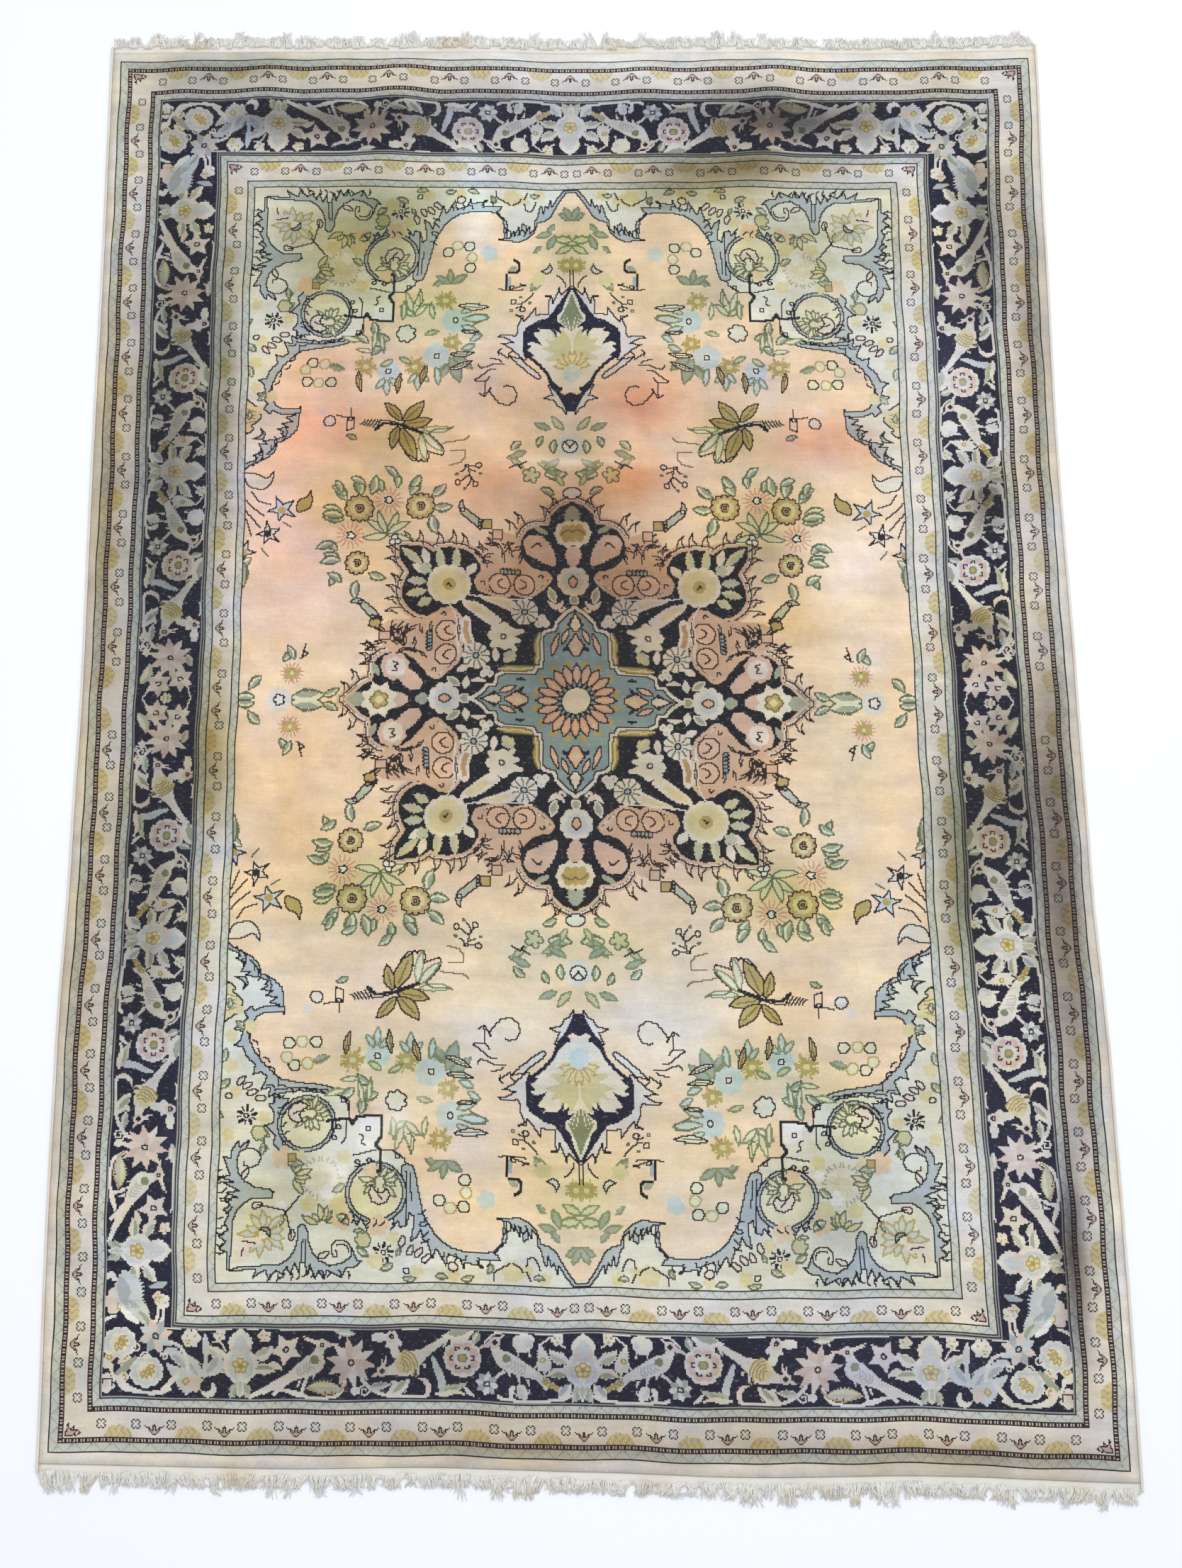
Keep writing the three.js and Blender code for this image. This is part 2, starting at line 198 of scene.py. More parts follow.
class Chart:
    """One quarter of the knot chart. onto turns a motif's own places into places on the rug."""

    def __init__(self):
        self.cells = np.full((ROWS, COLUMNS), YARN["ground"], np.uint8)
        self.onto = lambda points: points
        self.random = np.random.default_rng(SEED)

    def fill(self, points, yarn):
        """Knots a closed outline full of one yarn."""
        p = self.onto(np.asarray(points, float))
        x = p[:, 0] / KNOT_U - 0.5
        y = p[:, 1] / KNOT_V - 0.5
        c0, c1 = max(0, int(x.min())), min(COLUMNS, int(x.max()) + 2)
        r0, r1 = max(0, int(y.min())), min(ROWS, int(y.max()) + 2)
        if c0 >= c1 or r0 >= r1:
            return
        cols, rows = np.meshgrid(np.arange(c0, c1), np.arange(r0, r1))
        inside = np.zeros(cols.shape, bool)
        for x0, y0, x1, y1 in zip(np.roll(x, 1), np.roll(y, 1), x, y):
            if y0 == y1:
                continue
            crosses = (rows >= min(y0, y1)) & (rows < max(y0, y1))
            inside ^= crosses & (cols < x0 + (rows - y0) * (x1 - x0) / (y1 - y0))
        self.cells[r0:r1, c0:c1][inside] = YARN[yarn]

    def thread(self, points, yarn, knots=1, closed=False):
        """Knots a line through some places, one or more knots wide."""
        p = self.onto(np.asarray(points, float)) / (KNOT_U, KNOT_V)
        if closed:
            p = np.concatenate([p, p[:1]])
        before = None
        for a, b in zip(p[:-1], p[1:]):
            n = max(1, int(np.ceil(np.abs(b - a).max() * 1.6)))
            for q in a + (b - a) * np.arange(n + 1)[:, None] / n:
                c, r = np.floor(q - (knots - 1) / 2).astype(int)
                if before and c != before[0] and r != before[1]:
                    self.dab(c, before[1], knots, yarn)
                self.dab(c, r, knots, yarn)
                before = (c, r)

    def dab(self, c, r, knots, yarn):
        """A square of knots from a column and a row on."""
        if c + knots > 0 and r + knots > 0:
            self.cells[max(r, 0):r + knots, max(c, 0):c + knots] = YARN[yarn]

    def patch(self, points, yarn, edge=None, knots=1):
        """A filled outline with, if asked, a line of another yarn round it."""
        self.fill(points, yarn)
        if edge:
            self.thread(points, edge, knots, closed=True)

    def blob(self, points, yarn, edge=None):
        """A patch with a smooth outline through a few places."""
        self.patch(bend(points, closed=True, steps=4), yarn, edge)

    def stem(self, points, yarn="cream", knots=1):
        self.thread(bend(points, steps=5), yarn, knots)

    def ribbon(self, rows, yarn, edge=None, teeth=0.0):
        """A bent band whose width changes along it: rows of (place, place, width)."""
        p = bend(rows, steps=6)
        d = np.gradient(p[:, :2], axis=0)
        n = np.stack([-d[:, 1], d[:, 0]], 1) / (np.hypot(d[:, 0], d[:, 1])[:, None] + 1e-9)
        half = np.maximum(p[:, 2:3], 0) / 2
        half = half * (1 + teeth * np.where(np.arange(len(p)) % 2, 1, -1)[:, None])
        self.patch(np.concatenate([p[:, :2] + n * half, (p[:, :2] - n * half)[::-1]]), yarn, edge)

    def disc(self, at, radius, yarn, edge=None, petals=0, depth=0.2, turn=0.0, squash=1.0):
        """A round, scalloped where it has petals."""
        self.patch(round_outline(radius, petals, depth, turn, squash) + at, yarn, edge)

    def hoop(self, at, radius, yarn):
        self.thread(round_outline(radius, n=26) + at, yarn, closed=True)

    def star(self, at, radius, points, yarns, turn=0.0, depth=0.5, eye=None, eye_yarn=None, width=1.0):
        """A flower of pointed petals in turn of each yarn, with a ringed eye."""
        for k in range(points):
            a = turn + 2 * math.pi * k / points
            waist = radius * (1 - depth)
            w = waist * math.tan(math.pi / points) * width
            petal = turned([(0, -w * 0.7), (waist, -w), (radius, 0), (waist, w), (0, w * 0.7)], a) + at
            self.fill(petal, yarns[k % len(yarns)])
        if eye_yarn:
            self.disc(at, 3.4, eye_yarn)
        if eye:
            self.hoop(at, 2.8, eye)

    def leaf(self, at, length, width, turn, yarn, shade=None, curl=0.0, teeth=0.0, edge=None):
        """A leaf from its stem to its tip; shade colours the darker half along one side."""
        def rows(stations, aside):
            places = [(x * length, curl * math.sin(x * 2.6) - width * aside) for x, _ in stations]
            return [(*p, w * width) for p, (_, w) in zip(turned(places, turn) + at, stations)]
        self.ribbon(rows([(0, 0.12), (0.2, 0.7), (0.42, 1), (0.68, 0.8), (0.88, 0.35), (1, 0)], 0), yarn,
                    edge, teeth)
        if shade:
            self.ribbon(rows([(0.12, 0.1), (0.35, 0.42), (0.62, 0.38), (0.85, 0)], 0.16), shade)

    def coil(self, at, radius, turns, yarn, start=0.0, way=1, knots=1):
        """A spiral from its outer end in to the middle."""
        a = np.linspace(0, turns * 2 * math.pi, int(14 * turns) + 2)
        r = radius + (1.6 - radius) * a / a[-1]
        self.thread(np.stack([r * np.cos(start + way * a), r * np.sin(start + way * a)], 1) + at, yarn,
                    knots)

    def stamp(self, lines, column, row, beside, yarns):
        """Knots a small charted repeat about a place, its first line towards the field."""
        marks = np.array([list(line) for line in lines])
        if beside:
            marks = marks.T
        height, width = marks.shape
        r0, c0 = int(round(row - height / 2)), int(round(column - width / 2))
        for r in range(max(0, -r0), min(height, ROWS - r0)):
            for c in range(max(0, -c0), min(width, COLUMNS - c0)):
                if marks[r, c] != ".":
                    self.cells[r0 + r, c0 + c] = YARN[yarns[marks[r, c]]]


def turned(points, angle):
    """Points turned about the origin, by radians."""
    p = np.asarray(points, float)
    c, s = math.cos(angle), math.sin(angle)
    return np.stack([p[:, 0] * c - p[:, 1] * s, p[:, 0] * s + p[:, 1] * c], 1)


def bend(points, closed=False, steps=6):
    """A smooth curve through a few points."""
    p = [np.asarray(q, float) for q in points]
    n = len(p)
    curve = []
    for i in range(n if closed else n - 1):
        a = p[(i - 1) % n] if closed or i else p[0]
        b = p[i]
        c = p[(i + 1) % n]
        d = p[(i + 2) % n] if closed or i + 2 < n else p[-1]
        for t in np.arange(steps) / steps:
            curve.append(0.5 * (2 * b + (c - a) * t + (2 * a - 5 * b + 4 * c - d) * t * t
                                + (3 * b - a - 3 * c + d) * t ** 3))
    if not closed:
        curve.append(p[-1])
    return np.array(curve)


def round_outline(radius, petals=0, depth=0.2, turn=0.0, squash=1.0, n=40, start=0.0, end=2 * math.pi):
    a = np.linspace(start, end, n, endpoint=end - start < 6.28)
    r = radius * (1 - depth * (1 - np.abs(np.cos(a * petals / 2)) ** 0.6)) if petals else np.full(n, radius)
    return turned(np.stack([r * np.cos(a), r * np.sin(a)], 1), turn) * (1, squash)


# Bands from the pile's edge inwards: name, knots on the sides, knots on the ends
BANDS = [
    ("margin", 6, 8), ("line", 1, 1), ("lattice", 6, 6), ("ladder", 4, 4), ("shell", 17, 18),
    ("ladder", 4, 4), ("lattice", 5, 5), ("line", 1, 1), ("pale", 1, 1), ("navy", 50, 50),
    ("pale", 1, 1), ("line", 1, 1), ("pale", 1, 1), ("line", 1, 1), ("lattice", 5, 5), ("line", 1, 1),
    ("shell", 17, 17), ("line", 1, 1), ("lattice", 5, 5), ("line", 1, 1),
]
OUTER_GUARD, MAIN_BORDER, INNER_GUARD = 4, 9, 16
FIRST_BAND_OF_PIECE = {"outer_guards": 0, "main_border": 8, "inner_guard": 11, "field": len(BANDS)}


def reach(band):
    """How far from the middle a band's outer side lies, in mm across and along."""
    side = COLUMNS - sum(row[1] for row in BANDS[:band])
    end = ROWS - sum(row[2] for row in BANDS[:band])
    return side * KNOT_U, end * KNOT_V


def band_numbers():
    """The band that each column and each row starts in."""
    side_steps = np.repeat(np.arange(len(BANDS)), [row[1] for row in BANDS])
    end_steps = np.repeat(np.arange(len(BANDS)), [row[2] for row in BANDS])
    by_side = np.full(COLUMNS, len(BANDS))
    by_end = np.full(ROWS, len(BANDS))
    by_side[::-1][:len(side_steps)] = side_steps
    by_end[::-1][:len(end_steps)] = end_steps
    return np.minimum(by_side[None, :], by_end[:, None]), by_side, by_end


def knot_bands(chart):
    """The plain frames, lattices and ladders round the field."""
    _, by_side, by_end = band_numbers()
    columns = np.arange(COLUMNS)[None, :]
    rows = np.arange(ROWS)[:, None]
    for band, (name, side_knots, end_knots) in enumerate(BANDS):
        beside = (by_side[None, :] == band) & (by_end[:, None] >= band)
        at_end = (by_end[:, None] == band) & (by_side[None, :] > band)
        outer = reach(band)[0] / KNOT_U, reach(band)[1] / KNOT_V
        for here, knots, along, into in ((beside, side_knots, rows, outer[0] - 1 - columns),
                                         (at_end, end_knots, columns, outer[1] - 1 - rows)):
            into = np.round(into)
            chart.cells[here] = YARN[name]
            if name == "ladder":
                gap = (into > 0) & (into < knots - 1) & np.isin(along % 5, (1, 3))
                chart.cells[here & gap] = YARN["rung_gap"]
            if name == "lattice":
                zig = np.abs(along % (2 * knots + 2) - knots - 1)
                inner = (into > knots - 3) & (along % (2 * knots + 2) == into - knots + 3)
                chart.cells[here & ((zig == into + 1) | inner)] = YARN["lattice_mark"]


CLOVER = [
    ".##.##.", "#oo#oo#", "#oo.oo#", ".#...#.", "#oo.oo#", "#oo#oo#", ".##.##.",
]
CROWN = [
    ".......#.......", "#.....###.....#", ".###..#p#..###.", "...##.#p#.##...", "...#p##p##p#...",
    "....#ppppp#....", ".....#ppp#.....", "......###......",
]
TULIP = [
    ".........#..", ".........##.", ".....#...##.", ".....##..#..", ".....#p##p#.", "..######pp#.",
    ".#.#pppppp##", "##..#pppppp#", ".##.##ppppp#", "...##.######",
]

# Where a guard's crowns stand on an end and on a side, in mm: the first, then every so many
GUARDS = [
    {"band": OUTER_GUARD, "first_on_end": 0, "step_on_end": 77.7, "first_on_side": 64.5,
     "step_on_side": 76.6},
    {"band": INNER_GUARD, "first_on_end": 27.5, "step_on_end": 78.8, "first_on_side": 13.5,
     "step_on_side": 76.2},
]


def gold_arch(chart, at, beside):
    """A mottled half round of gold against the outer side of a guard band."""
    column, row = int(at[0] / KNOT_U), int(at[1] / KNOT_V)
    for k in range(-11, 12):
        share = 1 - (k / 10.3) ** 2
        if share <= 0:
            continue
        for depth in range(int(8.5 * math.sqrt(share) + chart.random.random())):
            c, r = (column - depth, row + k) if beside else (column + k, row - depth)
            if 0 <= c < COLUMNS and 0 <= r < ROWS:
                squiggle = math.sin(k * 1.3 + 1.7 * math.sin(depth * 0.9 + column)) > 0.55
                chart.cells[r, c] = YARN["arch_dark" if squiggle else "arch"]


def knot_guard(chart, band, first_on_end, step_on_end, first_on_side, step_on_side):
    """Clovers in pairs about crowns, with gold arches between the pairs and a tulip in the corner."""
    edge_u, edge_v = reach(band)
    marks = {"#": "ladder", "o": "clover", "p": "crown"}
    for beside, edge, stop, first, step in ((False, edge_v, edge_u, first_on_end, step_on_end),
                                            (True, edge_u, edge_v, first_on_side, step_on_side)):
        outer = edge / (KNOT_U if beside else KNOT_V)
        knot = KNOT_V if beside else KNOT_U
        crowns = [first + step * k for k in range(int((stop - 60 - first) / step) + 1)]
        clovers = [at + step / 4 * k for at in crowns for k in (-1, 1)] + [crowns[-1] + step * 0.75]
        arches = sorted({round(at + step / 2 * k, 3) for at in crowns for k in (-1, 1)})
        for at in arches:
            if at > 2:
                gold_arch(chart, (edge - 1, at) if beside else (at, edge - 1), beside)
        for lines, places, depth in ((CLOVER, clovers, 9), (CROWN, crowns, 6)):
            for at in places:
                spot = (outer - depth, at / knot) if beside else (at / knot, outer - depth)
                chart.stamp(lines, *spot, beside, marks)
    chart.stamp(TULIP, edge_u / KNOT_U - 7.5, edge_v / KNOT_V - 6.5, False, marks)


# The main border's strip: s runs along it from the middle, t inwards from its outer side, in mm


def bird(chart, beak, head, neck, breast, rump, tail, girth, crest, wing, plume=None):
    """A bird seen from the side, with its crest, its wing as arcs or bars, and its feet."""
    for tip in tail:
        chart.ribbon([(*breast, girth * 0.8), (*rump, girth * 0.45), (*tip, 4)], "cream")
    chart.ribbon([(*head, 9), (*neck, 11), (*breast, girth), (*rump, girth * 0.5)], "cream")
    chart.disc(head, 6.2, "rose")
    chart.ribbon([(*head, 8), (*beak, 0.8)], "rose")
    for tip in crest:
        chart.ribbon([(*head, 5), (*tip, 1)], "cream_rose")
    along = np.subtract(rump, breast)
    along = along / np.hypot(*along)
    side = np.array([-along[1], along[0]])
    side = side if side[1] > 0 else -side
    shoulder = np.array(breast) - along * girth * 0.35
    facing = math.atan2(along[1], along[0])
    if wing == "arcs":
        chart.disc(np.array(breast) + along * 2 + side * 2, girth * 0.5, "gold_light")
        for k in range(5):
            arc = round_outline(girth * (0.3 + 0.15 * k), n=12, start=facing - 0.75, end=facing + 0.95)
            chart.thread(arc + shoulder, "gold_dark")
    else:
        chart.disc(np.array(breast) + side * 2.5 - along * 3, girth * 0.22, "sage")
        for k in range(5):
            q = np.array(breast) + along * (2 + k * 4) - side * 1.5
            chart.thread([q + side * 5, q + along * 3, q - side * 4], "cream_shade")
    if plume:
        a, b = np.array(rump) * 0.75 + np.array(tail[0]) * 0.25, np.array(tail[0])
        chart.ribbon([(*a, 5), (*b, 6)], "gold_light")
        for k in range(12):
            q = a + (b - a) * k / 11
            chart.thread([q - side * 2.8, q + side * 2.8], "gold_dark")
    for share, length in ((0.1, 7), (0.45, 9), (0.8, 6)):
        q = np.array(breast) * (1 - share) + np.array(rump) * share - side * girth * 0.38
        chart.ribbon([(*q, 4), (*(q - (0, length) + along * 2), 1.4)], "cream")
    chart.hoop(head, 1.8, "ink")


def palmette(chart, at, petals):
    """A large palmette: toothed crown, shoulders, gold heart and a green calyx."""
    x, y = at
    body = [(37, 1), (33, 12), (26, 25), (20, 26), (14, 23), (6, 36), (-2, 41), (-10, 37), (-16, 24),
            (-24, 12)]
    chart.ribbon([(x, y + up, width) for up, width in body], "cream", teeth=0.07)
    chart.ribbon([(x, y + up, width) for up, width in ((30, 4), (20, 16), (8, 19), (-2, 29), (-12, 24),
                                                       (-18, 8))],
                 "steel_light")
    for side in (1, -1):
        chart.disc((x + 7 * side, y + 14), 4, "rose")
        chart.leaf((x + 14 * side, y + 6), 26, 13, math.atan2(15, 20 * side), "cream", "moss_light",
                   -4 * side, 0.12)
        chart.leaf((x + 14 * side, y - 8), 25, 12, math.atan2(-3, 22 * side), "ecru", "moss", 4 * side, 0.1)
        chart.leaf((x, y - 20), 21, 12, math.atan2(-14, 9 * side), "moss_light", "moss", teeth=0.2)
    chart.disc((x, y - 3), 10.5, "ecru", petals=7)
    for k in range(petals):
        a = 2 * math.pi * k / petals + 0.3
        chart.disc((x + 5.2 * math.cos(a), y - 3 + 5.2 * math.sin(a)), 3.2, "gold_light", edge="gold")
    chart.disc((x, y - 3), 2, "gold_dark")
    chart.ribbon([(x, y - 12, 9), (x, y - 20, 6), (x, y - 28, 8), (x, y - 37, 1)], "cream")
    chart.ribbon([(x, y - 20, 3), (x, y - 27, 5), (x, y - 34, 1)], "moss_light")


def rosette(chart, at, radius):
    """A round rosette with dark stitches about its middle."""
    x, y = at
    chart.disc(at, radius, "cream", petals=12, depth=0.12)
    for k in range(8):
        a = 2 * math.pi * (k + 0.5) / 8
        chart.disc((x + radius * 0.6 * math.cos(a), y + radius * 0.6 * math.sin(a)), radius * 0.25,
                   "rose_deep")
    chart.disc(at, radius * 0.46, "cream")
    for k in range(6):
        a = 2 * math.pi * k / 6
        stitch = round_outline(2.4, n=6, start=a - 1.9, end=a + 1.9)
        chart.thread(stitch + (x + radius * 0.5 * math.cos(a), y + radius * 0.5 * math.sin(a)), "brown")
    chart.disc(at, radius * 0.27, "sage", squash=0.9)
    chart.disc(at, radius * 0.16, "gold")


def posy(chart, at, radius, petals=5, yarn="cream", eye="gold"):
    """A small round flower dotted with another yarn."""
    chart.disc(at, radius, yarn, petals=petals, depth=0.35)
    for k in range(3):
        a = 2 * math.pi * k / 3 + 0.5
        chart.disc((at[0] + radius * 0.42 * math.cos(a), at[1] + radius * 0.42 * math.sin(a)), 1.2, eye)


def square_flower(chart, at):
    """A small flower with a dark square eye and three long petals."""
    x, y = at
    for turn, length, width in ((0.0, 23, 10), (-2.4, 14, 7), (-1.75, 24, 10), (-1.1, 13, 6)):
        c, s = math.cos(turn), math.sin(turn)
        chart.ribbon([(x, y, width * 0.5), (x + c * length * 0.6, y + s * length * 0.6, width),
                      (x + c * length, y + s * length, width * 0.6)], "cream", teeth=0.1)
    chart.disc(at, 7, "rose", petals=6, depth=0.25)
    chart.disc(at, 3.1, "ink")
    chart.disc(at, 1.2, "cream_shade")


def peony(chart, at, turn):
    """A round pale flower in the corner with gold petals in its heart."""
    chart.disc(at, 19, "cream", petals=10, depth=0.1, turn=turn, squash=0.95)
    chart.disc(at, 16, "steel_light", petals=10, depth=0.12, turn=turn)
    chart.disc(at, 11.5, "ecru", petals=6)
    for k in range(5):
        a = turn - 0.9 + k * 0.55
        tip = turned([(2, 0), (6, -2.4), (11, 0), (6, 2.4)], a) + at - turned([(3, 0)], turn)
        chart.thread(tip, "gold", closed=True)


def knot_strip(chart, part):
    """One run of the border, from a palmette's middle outwards: an end, or a side's way down or up."""
    last = {"end": 480, "down": 366, "up": 262}[part]
    for a, b in ((22, 52), (60, 96), (178, 196), (262, 330), (355, 366), (384, 396), (402, 420),
                 (440, 470)):
        if b < last:
            chart.stem([(a, 73.6), ((a + b) / 2, 74), (b, 73.6)])
    palmette(chart, (0, 38), 5)
    posy(chart, (28, 69), 7.5)
    chart.stem([(19, 59), (24, 63)])
    # lily beside the palmette
    chart.ribbon([(47, 64, 1), (45, 56, 8), (42, 47, 14), (41, 39, 15), (42, 34, 6)], "cream", teeth=0.14)
    for x, y in ((34, 33), (40, 29), (49, 32), (52, 38)):
        chart.ribbon([(43, 44, 8), (x, y, 1)], "cream")
    chart.disc((43, 46), 4, "ecru")
    chart.hoop((43, 46), 2.4, "gold")
    chart.stem([(46, 63), (38, 70), (34, 72)])
    # pale bud on the inner side
    chart.blob([(54, 72), (72, 72), (76, 62), (66, 54), (56, 58)], "cream")
    chart.ribbon([(58, 58, 3), (57, 50, 2)], "cream")
    chart.ribbon([(70, 58, 3), (69, 50, 2)], "cream")
    chart.blob([(55, 67), (62, 65), (61, 60), (56, 60)], "steel_light")
    bird(chart, (115, 55), (95, 63), (92, 52), (80, 43), (50, 30), [(18, 9), (38, 14)], 20, [(85, 72)],
         "bars",
         plume=True)
    chart.stem([(106, 62), (98, 71), (86, 74)])
    chart.ribbon([(84, 33, 4), (92, 27, 3), (96, 22, 2)], "cream")
    # low leaves and stem under the bird
    chart.leaf((26, 4), 22, 13, 2.3, "cream", "steel", teeth=0.15)
    chart.leaf((62, 3), 19, 15, 1.2, "cream", "steel_light", teeth=0.2)
    chart.stem([(12, 8), (24, 3), (60, 2), (86, 3), (92, 6)], knots=2)
    chart.ribbon([(78, 5, 3), (77, 13, 6), (73, 18, 3)], "cream")
    chart.star((104, 18), 13.5, 8, ["cream", "steel"], turn=0.2, depth=0.35, eye="ink", eye_yarn="cream")
    chart.ribbon([(118, 4, 1), (124, 8, 5), (130, 15, 1)], "cream")
    rosette(chart, (130, 45), 21.5)
    chart.leaf((118, 60), 16, 9, 1.9, "moss", "moss_light")
    chart.stem([(116, 56), (118, 64), (114, 72)])
    # green leaf branch
    chart.ribbon([(163, 46, 3), (160, 36, 7), (155, 26, 8), (152, 12, 9), (148, 6, 8)], "steel_light",
                 teeth=0.1)
    chart.ribbon([(156, 8, 6), (146, 10, 12), (134, 14, 6), (125, 19, 1)], "moss_light", teeth=0.15)
    chart.ribbon([(152, 9, 3), (143, 11, 5), (135, 14, 2)], "moss")
    chart.ribbon([(160, 6, 3), (150, 6, 6), (140, 8, 5), (128, 6, 2)], "ecru", teeth=0.1)
    bird(chart, (230, 24), (219, 30), (208, 31), (194, 36), (174, 48), [(137, 73)], 24,
         [(214, 47), (219, 43)], "arcs")
    chart.leaf((150, 69), 33, 16, math.pi - 0.2, "cream", "moss", curl=3, teeth=0.12)
    chart.stem([(152, 69), (147, 63), (151, 57)])
    square_flower(chart, (208, 67))
    chart.star((253, 40), 28, 10, ["rose", "cream_rose", "rose_deep"], turn=0.15, depth=0.45, eye="ink",
               eye_yarn="cream_rose")
    # bud, curl and low branch below the starburst
    chart.stem([(247, 18), (247, 13)])
    chart.disc((247, 9.5), 5.2, "cream", petals=5)
    chart.coil((237, 9), 7, 1.4, "cream", start=0.6)
    chart.stem([(241, 22), (233, 14), (222, 7), (208, 3), (186, 3), (168, 4)], knots=2)
    chart.leaf((232, 13), 24, 9, math.pi - 0.1, "steel_light", "moss", teeth=0.15)
    chart.ribbon([(214, 3, 3), (207, 9, 7), (204, 16, 6), (209, 18, 2)], "cream")
    chart.leaf((207, 3), 27, 12, math.pi - 0.75, "cream", "moss", teeth=0.2)
    chart.ribbon([(170, 3, 3), (167, 12, 6), (172, 20, 5), (179, 22, 1)], "cream_rose")
    if part == "up":
        return
    # beyond the starburst: a crested bird, its leaf and a star flower
    bird(chart, (267, 59), (285, 58), (289, 49), (294, 38), (318, 24), [(364, 2), (350, 6), (338, 4)], 22,
         [(308, 68), (304, 64)], "bars")
    chart.ribbon([(318, 24, 8), (332, 19, 5), (346, 13, 2)], "cream_rose")
    chart.stem([(258, 20), (265, 6), (280, 2), (300, 2), (306, 6), (303, 18)], knots=2)
    chart.ribbon([(304, 3, 3), (312, 5, 6), (322, 8, 4), (330, 9, 1)], "cream")
    chart.leaf((302, 11), 42, 13, math.pi + 0.1, "moss_light", "gold_light", curl=-5, teeth=0.2)
    chart.stem([(300, 13), (284, 6), (266, 9), (258, 17)], "ochre")
    chart.star((324, 53), 19, 5, ["cream_rose"], turn=1.1, depth=0.6, eye="ink", eye_yarn="cream_rose")
    chart.ribbon([(349, 26, 1), (345, 33, 5), (337, 36, 8), (328, 32, 3)], "cream_rose")
    chart.stem([(266, 66), (262, 73), (250, 71)])
    chart.leaf((248, 71), 24, 8, 0.05, "moss_light", "cream")
    posy(chart, (348, 67), 7.5, yarn="ecru", eye="ochre")
    chart.stem([(342, 61), (350, 60), (356, 54)], "brown")
    palmette(chart, (374, 38), 5)
    if part == "down":
        return
    posy(chart, (397, 68), 7.5)
    chart.stem([(404, 61), (396, 60), (390, 51)])
    # grey lotus leaf on its stem
    chart.ribbon([(413, 70, 2), (412, 58, 7), (412, 40, 5), (415, 22, 6)], "steel_light", teeth=0.1)
    chart.leaf((414, 24), 34, 17, math.atan2(24, 17), "steel_light", "steel", curl=-5, teeth=0.15)
    chart.leaf((412, 24), 30, 16, math.atan2(26, -13), "steel_light", "steel", curl=5, teeth=0.15)
    posy(chart, (428, 65), 11, petals=6)
    posy(chart, (432, 61), 5, petals=4, yarn="ecru", eye="gold_dark")
    # pomegranate flower
    chart.ribbon([(455, 36, 3), (444, 28, 12), (432, 19, 22), (424, 8, 18)], "steel_light", teeth=0.1)
    chart.ribbon([(432, 22, 6), (422, 16, 16), (417, 9, 12)], "rose", teeth=0.1)
    chart.disc((433, 18), 3.2, "gold_light", edge="gold")
    chart.disc((408, 9), 8.5, "cream")
    chart.disc((411, 13), 6.3, "navy")
    # curled grey leaf
    chart.ribbon([(458, 46, 3), (452, 50, 9), (442, 44, 13), (433, 33, 8), (430, 24, 2)], "steel_light",
                 teeth=0.12)
    chart.ribbon([(448, 46, 3), (441, 41, 6), (435, 33, 3)], "steel", teeth=0.12)
    chart.coil((457, 44), 4.5, 1.2, "cream")
    chart.stem([(452, 60), (440, 55), (434, 44), (431, 30)], knots=2)


def knot_corner(chart):
    """The flowers that fill the border's corner, in places on the rug."""
    chart.star((467, 745), 20, 8, ["rose", "steel", "rose", "steel_light"], turn=0.3, depth=0.4, eye="ink",
               eye_yarn="steel")
    peony(chart, (476, 783), 2.2)
    peony(chart, (507, 752), 2.4)
    posy(chart, (500, 773), 8, yarn="ecru")
    chart.ribbon([(488, 768, 3), (496, 776, 8), (505, 786, 8), (512, 790, 2)], "moss", teeth=0.1)
    for at in ((500, 790), (517, 768)):
        chart.disc(at, 5.5, "ecru")
        chart.hoop(at, 2.6, "gold")
    # crescent leaves that hold the peonies
    chart.ribbon([(448, 800, 4), (462, 805, 5), (482, 805, 4), (500, 799, 9), (505, 788, 5)], "cream")
    chart.ribbon([(440, 780, 2), (446, 790, 6), (458, 802, 5)], "cream")
    chart.ribbon([(528, 722, 3), (530, 740, 5), (529, 760, 4), (523, 774, 8), (512, 778, 5)], "cream")
    chart.ribbon([(510, 722, 2), (522, 726, 4), (531, 736, 5)], "cream")
    chart.disc((520, 796), 11.5, "cream", petals=7, depth=0.25)
    chart.disc((520, 796), 5, "rose", petals=5)
    chart.thread([(513, 799), (513, 791), (522, 791), (522, 796)], "brown")
    chart.thread([(505, 793), (512, 787), (514, 781)], "cream", 2)
    chart.coil((488, 757), 5, 1.1, "cream")
    chart.coil((478, 767), 5, 1.1, "cream", way=-1)


